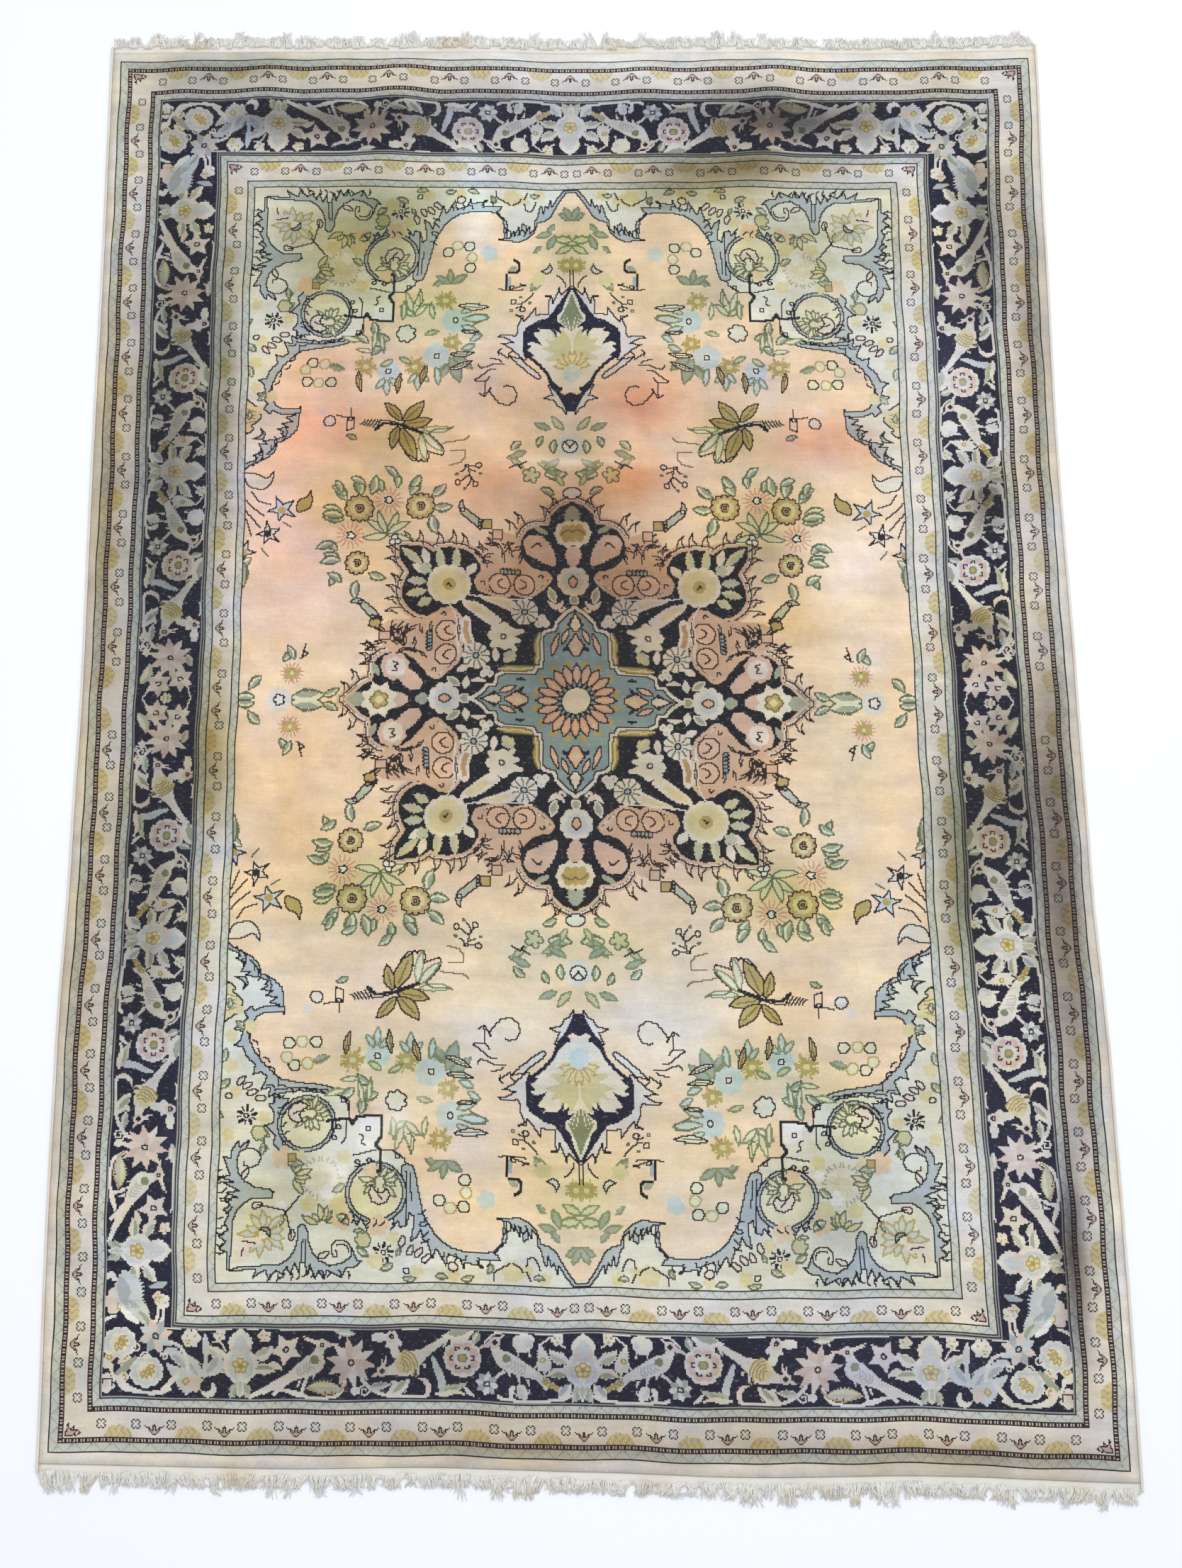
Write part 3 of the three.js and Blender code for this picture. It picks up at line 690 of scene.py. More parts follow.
def knot_side_ends(chart):
    """Flowers between a side's strip and the corner, in places on the rug."""
    chart.disc((512, 706), 15, "rose", petals=5, depth=0.3)
    chart.disc((506, 712), 3.6, "ecru", edge="gold")
    chart.ribbon([(505, 714, 5), (494, 722, 13), (486, 732, 3)], "white")
    chart.leaf((505, 672), 52, 32, 1.85, "steel_light", "steel", teeth=0.15)
    chart.leaf((497, 700), 40, 18, 2.2, "steel_light", "steel", teeth=0.15)
    chart.ribbon([(495, 716, 3), (484, 722, 12), (474, 733, 8), (471, 742, 2)], "steel_light", teeth=0.15)
    chart.ribbon([(486, 718, 2), (478, 726, 5), (474, 736, 2)], "moss")
    chart.ribbon([(476, 692, 3), (464, 689, 8), (456, 687, 1)], "steel", teeth=0.1)
    posy(chart, (461, 707), 9)
    posy(chart, (466, 702), 6, petals=4, yarn="rose", eye="gold_dark")
    for x in (459, 465):
        chart.thread([(x, 714), (x, 724), (x + 3, 730)], "cream", 2)
    chart.thread([(526, 695), (528, 683), (519, 676), (514, 682)], "cream", 3)


def knot_side_middle(chart):
    """What meets in the middle of each side: star pairs on their stems, leaves and buds."""
    for at in ((498, 18), (472, 24)):
        chart.star(at, 17, 6, ["rose", "cream_rose"], turn=0.5, depth=0.5, eye="ink", eye_yarn="cream")
    chart.thread([(498, 18), (512, 6), (516, 0)], "cream")
    chart.thread([(472, 24), (462, 12), (459, 0)], "cream")
    chart.leaf((520, 18), 28, 13, 1.9, "moss_light", "ecru", curl=4, teeth=0.15)
    chart.leaf((459, 40), 18, 9, 1.2, "moss_light", "moss", teeth=0.1)
    chart.coil((519, 62), 4.5, 1.2, "cream")
    posy(chart, (519, 76), 6)
    posy(chart, (488, 0), 7)


def knot_main_border(chart):
    before = chart.cells.copy()
    ground = before == YARN["navy"]
    outer_u, outer_v = reach(MAIN_BORDER)
    chart.onto = lambda p: np.stack([p[:, 0], outer_v - p[:, 1]], 1)
    knot_strip(chart, "end")
    for part, way in (("down", 1), ("up", -1)):
        chart.onto = lambda p, way=way: np.stack([outer_u - 0.97 * p[:, 1], 293 + way * 0.957 * p[:, 0]], 1)
        knot_strip(chart, part)
    chart.onto = lambda p: p
    knot_side_middle(chart)
    knot_side_ends(chart)
    knot_corner(chart)
    chart.cells[~ground] = before[~ground]


# The medallion and its cross, in places on the rug: u across, v along, in mm.
# Read off the photograph point after point, and still to be redrawn from named sizes
MEDALLION_EDGE = [
    (279, 0), (269, 10), (257, 22), (246, 27), (245, 46), (241, 55), (232, 61), (219, 64), (206, 62),
    (195, 55), (184, 43), (176, 32), (168, 27), (161, 30), (156, 36), (149, 42), (142, 50), (139, 60),
    (140, 68), (138, 76), (137, 90), (139, 104), (145, 113), (152, 117), (160, 115), (168, 110),
    (178, 105), (191, 107), (202, 115), (209, 126), (211, 138), (209, 150), (203, 164), (212, 177),
    (215, 186), (215, 201), (192, 200), (178, 197), (171, 191), (164, 196), (150, 198), (133, 195),
    (121, 188), (113, 175), (111, 163), (118, 157), (121, 149), (118, 141), (110, 137), (98, 133),
    (87, 132), (78, 137), (67, 134), (58, 132), (49, 137), (41, 143), (33, 150), (28, 157), (32, 164),
    (42, 166), (52, 170), (62, 181), (67, 194), (65, 210), (59, 220), (48, 227), (31, 229), (29, 242),
    (19, 252), (0, 262),
]
CROSS_EDGE = [
    (123, 0), (111, 8), (104, 17), (95, 18), (94, 29), (86, 34), (51, 34), (47, 41), (41, 42), (40, 81),
    (36, 86), (24, 89), (22, 98), (11, 110), (0, 117),
]


def quarter_patch(chart, edge_points, yarn):
    """Fills the part of the quarter within an edge that runs from the side axis to the end axis."""
    chart.fill([*edge_points, (-9, edge_points[-1][1]), (-9, -9), (edge_points[0][0], -9)], yarn)


def aster(chart, at, radius):
    """A pale flower cut by dark rays."""
    chart.disc(at, radius, "cream", petals=11, depth=0.16)
    for k in range(11):
        ray = turned([(radius * 0.38, 0), (radius * 0.9, 0)], 2 * math.pi * (k + 0.5) / 11) + at
        chart.thread(ray, "olive_dark")
    chart.disc(at, radius * 0.3, "steel")
    chart.hoop(at, radius * 0.2, "ink")


def trumpet(chart, rows, inner="gold_light"):
    chart.ribbon(rows, "cream_rose", teeth=0.06)
    chart.ribbon([(a, b, width * 0.45) for a, b, width in rows[1:-1]], inner)


def clover3(chart, at, radius, yarn="cream", edge=None):
    """A small flower of three round petals."""
    for k in range(3):
        a = 2 * math.pi * k / 3 + 1.5
        petal = (at[0] + radius * 0.55 * math.cos(a), at[1] + radius * 0.55 * math.sin(a))
        chart.disc(petal, radius * 0.55, yarn, edge)
        if not edge:
            chart.disc(petal, 1.1, "moss")


def ringed_rosette(chart, at, radius, petals=12):
    """A gold rosette with a scalloped brown outline."""
    chart.patch(round_outline(radius, petals, 0.2, n=90) + at, "tan", "brown", 1)
    chart.disc(at, radius * 0.66, "gold_light", petals=petals, depth=0.25)
    chart.disc(at, radius * 0.3, "ochre")
    chart.thread(round_outline(radius * 0.3, n=10, start=0.4, end=5.2) + at, "brown")
    chart.hoop(at, 2, "brown")


def pink_aster(chart, at, radius):
    """Thin pink rays about a dark-edged white heart."""
    for k in range(16):
        a = 2 * math.pi * (k + 0.5) / 16
        chart.thread(turned([(radius * 0.45, 0), (radius, 0)], a) + at, "rose_line")
    chart.patch(turned([(-6, 0), (-2, 5), (5, 3), (2, 0), (5, -3), (-2, -5)], 0) + at, "white", "ink")


def green_leaf(chart, at, length, turn, curl=2.0):
    """A line-drawn leaf, shaded on one side."""
    chart.leaf(at, length, length * 0.44, turn, "leaf_pale", "moss", curl=curl, teeth=0.2,
               edge="green_line")


def cloud_spirals(chart, pairs, scallop, buds):
    """Round cloud curls with a hooked leaf in each, their blue scallop and their buds."""
    for (u, v), way in pairs:
        chart.disc((u, v), 14.5, "cloud")
        chart.patch(round_outline(13) + (u, v), "peach_light", "brown")
        chart.stem([(u - 7 * way[0], v - 6 * way[1]), (u - 1 * way[0], v - 4 * way[1]),
                    (u + 3 * way[0], v + 2 * way[1]),
                    (u - 3 * way[0], v + 6 * way[1])], "brown")
    (u, v), turn, yarn = scallop
    for k in range(-2, 3):
        spot = turned([(0, k * 4.6)], turn)[0] + (u, v)
        chart.patch(round_outline(3.6, n=16) + spot, yarn, "brown")
    for at in buds:
        chart.disc(at, 8.5, "cloud")
        chart.thread(round_outline(2.6, n=12, start=0, end=4) + at, "brown")


def combs(chart, rows):
    """Brown hooked strokes: place, direction and size of each."""
    for u, v, turn, size in rows:
        hook = [(-0.1, 0.3), (0.6, 0.24), (1.15, -0.2), (0.55, -0.05), (0.1, -0.3)]
        chart.thread(turned(hook, math.radians(turn)) * size + (u, v), "brown")


def feathering(chart, start, stop, count, size, turn):
    """A run of hooked strokes like combed hair between two places."""
    for k in range(0, count, 2):
        at = np.array(start) + np.subtract(stop, start) * k / (count - 1)
        bent = math.radians(turn) + 0.5 * math.sin(k * 2.3)
        chart.thread(turned([(-1, 2), (size * 0.7, 2), (size + 3, -2), (size * 0.4, -1)], bent) + at,
                     "brown")


def hound(chart, neck, collar, eye, nose):
    """A long-nosed head looking out of the medallion's edge, with a collar and a gold neck."""
    chart.ribbon([(*neck, 13), (*collar, 12)], "gold", "brown")
    chart.ribbon([(*collar, 11), (*eye, 8), (*nose, 1)], "moss_light", "brown")
    across = turned([np.subtract(collar, neck)], math.pi / 2)[0]
    across = across / np.hypot(*across)
    for k in (-1, 0, 1):
        chart.hoop(np.array(collar) + across * 4.5 * k, 2.2, "brown")
    chart.disc(eye, 2.4, "cream", "brown")


def knot_medallion(chart):
    # pale and brown edging, then the dark ground
    for grow, yarn in ((5.2, "cloud"), (2.4, "brown"), (0.8, "cream")):
        chart.thread(MEDALLION_EDGE, yarn, int(1 + 2 * grow / 1.5))
    quarter_patch(chart, MEDALLION_EDGE, "night")
    chart.thread([(u - 1.6, v - 1.6) for u, v in MEDALLION_EDGE], "cloud", 2)
    # peach bays of the clouds, with spirals, buds and combed strokes
    chart.blob([(176, 34), (168, 29), (158, 34), (146, 48), (142, 60), (141, 90), (145, 108),
                (155, 114), (168, 108), (186, 102), (226, 100), (236, 80), (226, 64),
                (196, 58)], "cloud")
    chart.blob([(112, 160), (119, 150), (116, 143), (104, 138), (88, 134), (60, 134), (46, 141),
                (33, 153), (32, 162), (46, 166), (60, 180), (66, 206), (84, 214), (102, 210),
                (112, 186)], "cloud")
    cloud_spirals(chart, [((156, 55), (1, -1)), ((155, 86), (1, 1))], ((176, 74), 0, "sky"),
                  [(169, 35), (158, 107)])
    cloud_spirals(chart, [((90, 147), (1, 1)), ((60, 147), (-1, 1))], ((76, 163), math.pi / 2, "moss"),
                  [(111, 147), (39, 157)])
    feathering(chart, (181, 52), (232, 84), 9, 9, 60)
    feathering(chart, (171, 96), (222, 92), 8, 9, -60)
    feathering(chart, (196, 66), (214, 78), 5, 10, 110)
    feathering(chart, (98, 172), (92, 205), 7, 9, 25)
    feathering(chart, (52, 176), (84, 200), 7, 10, 160)
    feathering(chart, (112, 182), (96, 196), 5, 9, 60)
    for a, b, turn in (((188, 58), (214, 70), 30), ((190, 92), (216, 86), -20), ((206, 70), (238, 92), 45),
                       ((206, 96), (236, 100), -45), ((106, 168), (112, 192), 80),
                       ((66, 176), (88, 192), 115),
                       ((84, 176), (90, 210), 90), ((228, 70), (248, 66), 20), ((238, 64), (246, 40), 0)):
        feathering(chart, a, b, 6, 11, turn)
    chart.patch([(236, 76), (222, 76), (222, 86), (236, 86)], "cloud", "brown")
    chart.patch([(97, 204), (97, 216), (86, 216), (86, 204)], "cloud", "brown")
    hound(chart, (242, 92), (239, 105), (258, 125), (270, 125))
    hound(chart, (98, 224), (112, 224), (134, 243), (134, 256))
    combs(chart, [
        (272, 12, 60, 12), (263, 25, 75, 13), (247, 52, 40, 12), (243, 62, 70, 13), (212, 112, 10, 14),
        (212, 124, 25, 14), (213, 138, 40, 14), (212, 150, 60, 12), (214, 178, 20, 13),
        (216, 190, 40, 12), (200, 202, 80, 14), (186, 200, 100, 14), (160, 200, 80, 14),
        (145, 200, 100, 14), (130, 197, 85, 14), (72, 218, 60, 14), (62, 226, 70, 14),
        (30, 240, 60, 12), (20, 252, 70, 12),
    ])
    knot_medallion_heart(chart)
    knot_medallion_flowers(chart)


def knot_medallion_heart(chart):
    """The blue cross with its gold brackets and the petalled centre."""
    quarter_patch(chart, CROSS_EDGE, "sky")
    chart.thread(CROSS_EDGE, "cream", 3)
    quarter_patch(chart, [(u - 1.4, v - 1.4) for u, v in CROSS_EDGE], "sky")
    chart.thread([(u - 1.4, v - 1.4) for u, v in CROSS_EDGE], "brown", 1)
    for rows in ([(92, 38, 3), (82, 39, 7), (62, 39, 7), (52, 41, 5)],
                 [(48, 46, 5), (46, 56, 7), (46, 72, 7), (43, 84, 3)]):
        chart.ribbon(rows, "gold", "olive_dark")
        chart.stem([row[:2] for row in rows], "gold_light")
    for swap in (False, True):
        chart.onto = (lambda p: p[:, ::-1]) if swap else (lambda p: p)
        # small palmette, acanthus tip, side leaf and half-moons of one arm
        chart.ribbon([(56, 0, 6), (64, 0, 16), (70, 0, 20), (78, 0, 9), (84, 0, 2)], "peach_light", "brown",
                     teeth=0.12)
        chart.disc((67, 0), 4.5, "gold_light")
        chart.ribbon([(88, 0, 5), (95, 0, 15), (101, 0, 11), (107, 0, 4), (113, 0, 1)], "ecru", "brown",
                     teeth=0.2)
        chart.leaf((90, 9), 21, 7, 2.75, "peach_light", edge="brown")
        chart.ribbon([(68, 11, 1), (65, 13, 5), (61, 16, 1)], "ink")
        chart.ribbon([(72, 25, 1), (66, 26, 4), (60, 25, 1)], "ink")
    chart.onto = lambda p: p
    chart.leaf((30, 56), 30, 7, 1.9, "peach_light", edge="brown")
    for k in range(16):
        a = math.pi / 2 * (k + 0.5) / 4
        chart.disc((48 * math.cos(a), 48 * math.sin(a)), 4.5, "gold")
    for k in range(20):
        a = math.pi / 2 * k / 5
        petal = turned([(19, 0), (27, -4.2), (37, -5.4), (43, -3), (47, 0), (43, 3), (37, 5.4), (27, 4.2)],
                       a)
        chart.patch(petal, "peach", "brown")
        chart.thread(turned([(24, 0), (40, 0)], a), "peach_light")
    chart.star((0, 0), 22, 20, ["ink"], depth=0.22)
    chart.disc((0, 0), 16, "ecru")
    chart.disc((0, 0), 6, "cream_rose")


def knot_medallion_flowers(chart):
    """Flowers, leaves and buds on the medallion's dark ground."""
    trumpet(chart, [(119, 58, 10), (126, 66, 13), (132, 82, 14), (131, 98, 12), (129, 104, 4)], "ochre")
    trumpet(chart, [(66, 114, 10), (78, 120, 14), (92, 125, 12), (108, 128, 6), (116, 132, 2)])
    trumpet(chart, [(92, 96, 14), (104, 104, 16), (118, 114, 16), (130, 120, 10), (134, 126, 3)],
            "gold_light")
    chart.disc((88, 81), 18, "ecru", petals=7, depth=0.22)
    for u, v in ((66, 74), (72, 62), (102, 66), (62, 88)):
        chart.ribbon([(88, 81, 14), (u, v, 5)], "ecru", teeth=0.1)
    chart.leaf((74, 62), 20, 15, -0.9, "moss_light", "leaf_fill", teeth=0.25)
    chart.hoop((86, 80), 4, "rose_deep")
    chart.disc((87, 80), 3, "cream_rose", edge="brown")
    aster(chart, (120, 54), 17)
    aster(chart, (61, 112), 17)
    clover3(chart, (106, 34), 8)
    clover3(chart, (40, 99), 9)
    chart.leaf((96, 48), 18, 9, 1.5, "cream_rose")
    chart.leaf((142, 34), 17, 9, 2.7, "cream_rose")
    chart.leaf((131, 12), 16, 9, 1.7, "cream", teeth=0.1)
    chart.leaf((138, 16), 18, 9, 0.6, "moss", edge="cream")
    chart.ribbon([(124, 22, 2), (116, 24, 5), (106, 22, 2)], "cream_rose")
    chart.leaf((24, 124), 20, 9, 1.3, "moss", edge="cream")
    chart.ribbon([(16, 122, 5), (24, 118, 7), (33, 126, 2)], "cream_rose")
    chart.ribbon([(12, 118, 4), (18, 114, 6), (14, 126, 2)], "cream_rose")
    chart.stem([(137, 132), (128, 132), (118, 130), (100, 128), (70, 128), (52, 130)], "cream")
    chart.stem([(141, 56), (144, 80), (143, 104), (152, 122)], "cream")
    # blossoms on both axes
    for swap in (False, True):
        chart.onto = (lambda p: p[:, ::-1]) if swap else (lambda p: p)
        at = 156 if not swap else 151
        chart.disc((at, 0), 20, "cream", petals=10, depth=0.12)
        chart.disc((at, 0), 13, "steel_light", petals=8)
        chart.ribbon([(at - 8, 0, 2), (at, 0, 11), (at + 7, 0, 2)], "peach", "brown")
        chart.disc((at - 24, 0), 6, "moss", petals=3, edge="cream")
        chart.disc((at + 27, 0), 8, "moss", petals=3, depth=0.3)
    chart.onto = lambda p: p
    # side lobe: gold star flower on the axis and a peach flower beside it
    chart.ribbon([(272, 0, 3), (262, 0, 18), (252, 0, 12), (246, 0, 6)], "moss")
    chart.ribbon([(200, 0, 8), (210, 0, 18), (222, 0, 16)], "dusty", teeth=0.1)
    chart.star((234, 0), 24, 8, ["ecru"], turn=0.39, depth=0.35)
    chart.patch(round_outline(11, 5, 0.3, n=50) + (234, 0), "gold", "olive_dark")
    chart.disc((234, 0), 4.5, "gold_light")
    chart.ribbon([(212, 44, 6), (204, 32, 18), (194, 22, 20), (184, 16, 10)], "dusty", teeth=0.08)
    chart.disc((216, 42), 18, "dusty", petals=9, depth=0.16)
    chart.disc((215, 41), 13, "cream_rose", petals=8)
    chart.thread([(219, 36), (213, 38), (216, 42), (212, 46), (218, 48)], "brown")
    chart.leaf((236, 30), 18, 8, 1.2, "moss", edge=None, teeth=0.1)
    # end lobe: gold flower on the axis and a pink flower beside it
    chart.ribbon([(0, 170, 6), (0, 184, 20), (0, 196, 12)], "dusty", teeth=0.12)
    chart.disc((4, 214), 19, "ecru", petals=9, depth=0.2)
    chart.disc((4, 214), 13, "gold", petals=6, depth=0.3)
    chart.thread(round_outline(8, n=12, start=0.3, end=2.8) + (6, 210), "olive_dark")
    chart.ribbon([(0, 232, 20), (2, 242, 14), (0, 250, 3)], "moss", teeth=0.2)
    chart.ribbon([(22, 172, 5), (28, 180, 16), (38, 192, 26), (48, 200, 28), (58, 206, 10)], "dusty",
                 teeth=0.08)
    chart.thread([(50, 196), (44, 202), (38, 197), (41, 202)], "brown")
    chart.leaf((30, 214), 20, 7, 0.5, "moss")
    # diagonal lobe: sunflower with pale leaves about it
    for at, length, turn, yarn in (((172, 128), 20, -0.5, "leaf_fill"),
                                   (((178, 138)), 26, -0.2, "leaf_fill"),
                                   ((178, 149), 24, 0.1, "moss_light"),
                                   ((176, 162), 22, 0.45, "cream_rose"),
                                   ((184, 172), 34, 0.75, "leaf_fill"), ((176, 172), 22, 1.3, "cream_rose"),
                                   ((160, 166), 28, 1.5, "leaf_fill"), ((142, 166), 28, 1.65, "leaf_fill"),
                                   ((130, 158), 20, 2.3, "ecru")):
        chart.leaf(at, length, 11, turn, yarn, "moss_light" if yarn == "leaf_fill" else None, teeth=0.15)
    chart.disc((151, 146), 27, "ecru", petals=14, depth=0.12)
    chart.disc((151, 146), 22, "gold_light", petals=12, depth=0.14)
    chart.disc((151, 146), 8, "gold")
    chart.thread([(148, 143), (151, 147), (154, 145)], "brown")
    chart.disc((179, 166), 8, "moss_light", petals=5, depth=0.3)


def knot_rosettes(chart):
    """Scalloped rosettes, pink asters and the lily between them."""
    for at, radius in (((263, 175), 15), ((260, 245), 18), ((186, 249), 18)):
        ringed_rosette(chart, at, radius)
    pink_aster(chart, (272, 210), 17)
    pink_aster(chart, (225, 257), 17)
    for u, v, length, turn in ((284, 160, 20, -1.0), (262, 152, 24, -1.5), (248, 162, 22, -2.9),
                               (284, 178, 22, 0.3), (288, 190, 20, 0.6), (280, 230, 26, 0.1),
                               (282, 240, 24, 0.3), (276, 256, 26, 0.9), (258, 262, 28, 1.3),
                               (246, 264, 26, 1.8), (214, 274, 20, 1.5), (198, 264, 28, 1.9),
                               (172, 262, 24, 2.4), (170, 246, 24, 3.0), (172, 236, 26, -1.9),
                               (234, 268, 16, 1.4)):
        green_leaf(chart, (u, v), length, turn)
    for k, turn in enumerate((-0.3, 0.4, 1.1, 1.8, 2.5, 3.2)):
        chart.leaf((226, 213), 32, 9, turn + 0.15, "leaf_pale", edge="green_line", curl=2 if k % 2 else -2)
    clover3(chart, (217, 205), 7, "white", "brown")


# The rest of the field: outlined shapes, lines and small rings, in places on the rug.
# The outlines and curls were read off the photograph like the medallion's, and need the same redrawing
ACANTHUS = [
    # yarn, edge, outline
    ("mist", "ink", [(406, 292), (397, 301), (383, 308), (373, 314), (365, 322), (362, 333), (355, 335),
                     (347, 341), (338, 350), (336, 358), (335, 381), (341, 370), (352, 367), (344, 361),
                     (357, 359), (348, 353), (363, 352), (354, 347), (358, 345), (353, 341), (365, 337),
                     (380, 335), (374, 330), (385, 330), (380, 320), (392, 315), (386, 312), (390, 308),
                     (406, 301)]),
    ("mist", "ink", [(335, 373), (348, 371), (360, 372), (368, 376), (372, 371), (380, 378), (376, 384),
                     (380, 390), (390, 397), (380, 400), (381, 410), (388, 416), (379, 418), (374, 430),
                     (364, 440), (366, 450), (357, 448), (350, 454), (357, 468), (346, 465), (348, 476),
                     (341, 472), (343, 486), (336, 472), (315, 469), (290, 472), (276, 476), (272, 474),
                     (272, 470), (278, 466), (290, 462.5), (313, 460), (333, 456), (342, 450),
                     (356, 436), (366, 422), (372, 408), (372, 394), (366, 383), (358, 378),
                     (335, 378)]),
    ("mist", "ink", [(342, 472), (330, 478), (325, 478), (332, 497), (333, 517), (327, 541), (337, 533),
                     (341, 527), (338, 519), (350, 508), (341, 505), (341, 492), (347, 484),
                     (340, 482)]),
    ("mist", "ink", [(367.5, 525.5), (371, 535), (379, 539), (382, 548.5), (380, 562), (372, 571.5),
                     (359, 578.5), (345.5, 579.6), (339.6, 584), (340.8, 590), (364, 591), (373, 597),
                     (380, 606), (383.5, 615), (384, 643), (386, 670), (389, 670), (389, 650),
                     (398, 647), (390.5, 638), (398.5, 634), (389, 625), (393, 618), (388, 608.5),
                     (394, 604), (387, 599), (393, 592), (378, 590), (391.5, 585), (377, 582),
                     (396, 574), (384, 573), (400.7, 568), (388, 566), (392.7, 555), (397.3, 545),
                     (389, 547), (388, 537), (381, 527), (379, 534), (374, 529)]),
    ("mist", "ink", [(375, 666), (352, 666), (331.5, 665), (321, 658), (314, 647.6), (311.8, 636),
                     (311, 624.7), (308.4, 619.6), (304, 620.8), (300.3, 629), (298.7, 641),
                     (294.5, 652), (287.6, 660), (276, 666), (262, 663.4), (252.3, 656), (250.7, 648),
                     (246, 660), (240, 661), (248, 668), (257.6, 669), (262, 679), (278, 671),
                     (281, 680), (287.6, 671), (291, 680), (297, 664), (299, 675), (303, 662),
                     (309, 662), (308, 674), (314, 662), (318, 676), (322, 667), (327, 675), (334, 671),
                     (341, 681), (346, 671), (360, 680), (356, 670), (386, 671)]),
    ("mist", "ink", [(193, 553), (187.5, 554), (184, 557.5), (182.5, 563), (180, 570), (179, 580),
                     (176, 593), (174, 603), (171.7, 611.7), (166.7, 620), (160, 631.7), (151.7, 640),
                     (141.7, 646.7), (126.7, 650.8), (106.7, 650.8), (95, 647.5), (86.7, 638),
                     (85, 628), (84, 613), (80.5, 614), (80.5, 630), (83, 638), (95, 650), (92, 652),
                     (88.5, 658), (100, 657), (115, 659), (106.7, 667), (112, 664), (126.7, 662),
                     (128, 668), (132, 658), (145, 653), (147.5, 666), (158, 647), (162, 658),
                     (168, 638), (171, 640), (175, 625), (180, 635), (186, 638), (182.5, 617),
                     (183, 610), (188, 607), (191, 621), (198, 623), (200, 615), (204, 622), (205, 612),
                     (210, 616), (212, 610), (203, 605), (197.5, 598), (195, 593), (196, 570),
                     (197.5, 563), (197, 556)]),
    ("mist", "ink", [(91.7, 611.7), (66.7, 610), (56.7, 615), (48.3, 623), (45, 633), (45, 638),
                     (35, 640), (26.7, 646.7), (21.7, 656.7), (15, 668), (6.7, 680), (-2, 680),
                     (-2, 684), (9, 683), (17, 672), (25, 660), (26, 670), (30, 658), (33, 662),
                     (36, 650), (38, 662), (41.7, 656.7), (43, 645), (48, 640), (48, 628), (53, 621.7),
                     (54, 632.5), (58, 622), (58, 633), (62.5, 636.7), (65, 620), (66.7, 630),
                     (72, 617), (73, 625), (76.7, 615), (83, 614)]),
    ("mist", "ink", [(258, 606), (258, 616), (250, 612), (246, 622), (241, 614), (234, 627), (230, 616),
                     (222, 628), (220, 616), (212, 622), (210, 610), (222, 607), (240, 610)]),
    ("mist", "ink", [(393, 336), (380, 337), (377, 345), (383, 352), (380, 344), (384, 340)]),
    ("cloud_pale", "ink", [(76.7, 450), (66.7, 440), (50, 426.7), (43, 421.7), (38.5, 421), (36.5, 424),
                           (40, 429), (55, 440), (65, 451.7), (76.7, 461.7), (87.5, 467.5), (72, 468.5),
                           (77, 472), (84, 476.5), (92.5, 476), (90, 479), (78, 479), (71, 478),
                           (68, 484), (68, 492), (62, 503), (69, 507), (60, 506), (61, 498), (53, 506),
                           (45, 518), (44, 508), (28, 510), (29, 520), (27, 533), (33, 534), (25, 534),
                           (24, 524), (17, 541), (16, 546), (14, 536), (9, 541), (2, 548), (-2, 548),
                           (-2, 530), (20, 506), (40, 500), (58, 488), (60, 460), (56, 446)]),
    ("cloud_pale", "ink", [(5, 372), (11, 382), (15, 383), (20, 391), (27, 393), (33, 394), (27, 398),
                           (21, 398), (28, 412), (22, 414), (14, 400), (8, 392)]),
    ("ground", "ink", [(206, 333), (202.5, 318), (194, 310), (186, 308.5), (183.5, 312.5), (182, 309),
                       (176, 308.5), (174, 317), (178, 328), (180, 343), (174, 345), (158, 328),
                       (156, 321), (158, 316)]),
]
HATCHING = [
    # where a run of dark strokes starts and stops, how many, their length and direction
    ((398, 560), (384, 600), 7, 11, 0.5), ((394, 612), (392, 650), 5, 8, 0.3),
    ((392, 300), (352, 340), 8, 13, 1.9), ((376, 400), (340, 452), 6, 9, 2.3),
    ((330, 474), (322, 525), 6, 9, 0.4), ((340, 676), (300, 672), 6, 8, 1.3),
    ((296, 670), (256, 672), 5, 8, 1.9), ((258, 610), (206, 618), 7, 8, 1.2),
    ((170, 604), (166, 636), 5, 9, 0.6), ((150, 651), (100, 657), 5, 8, 1.4),
    ((60, 618), (84, 620), 4, 9, 1.6), ((350, 462), (290, 470), 6, 9, 2.9),
]
SPANDREL_CURLS = [
    [(371, 535), (361.6, 536), (356.3, 541.6), (355.8, 547.4), (359.3, 553), (366.2, 555.5),
     (373, 553.6), (374, 550)],
    [(250.7, 647.7), (255.3, 640.8), (264.5, 638), (271.5, 641), (274, 648), (271.5, 656), (267, 656),
     (268.7, 649)],
    [(254, 652), (256, 645), (262, 642), (268, 644)],
    [(271.5, 476), (264.5, 478), (259, 487), (257.6, 500)],
    [(276, 503), (275, 517), (280, 530)],
    [(260, 503), (260, 521), (264.5, 530)],
    [(306, 636), (307, 660)],
    [(303, 636), (302, 660)],
    [(240, 505), (238, 515), (232, 518), (229, 512), (234, 508)],
    [(246, 519), (241, 522), (243, 529), (238, 532)],
    [(252, 543), (226, 537)],
    [(250, 556), (228, 550)],
]
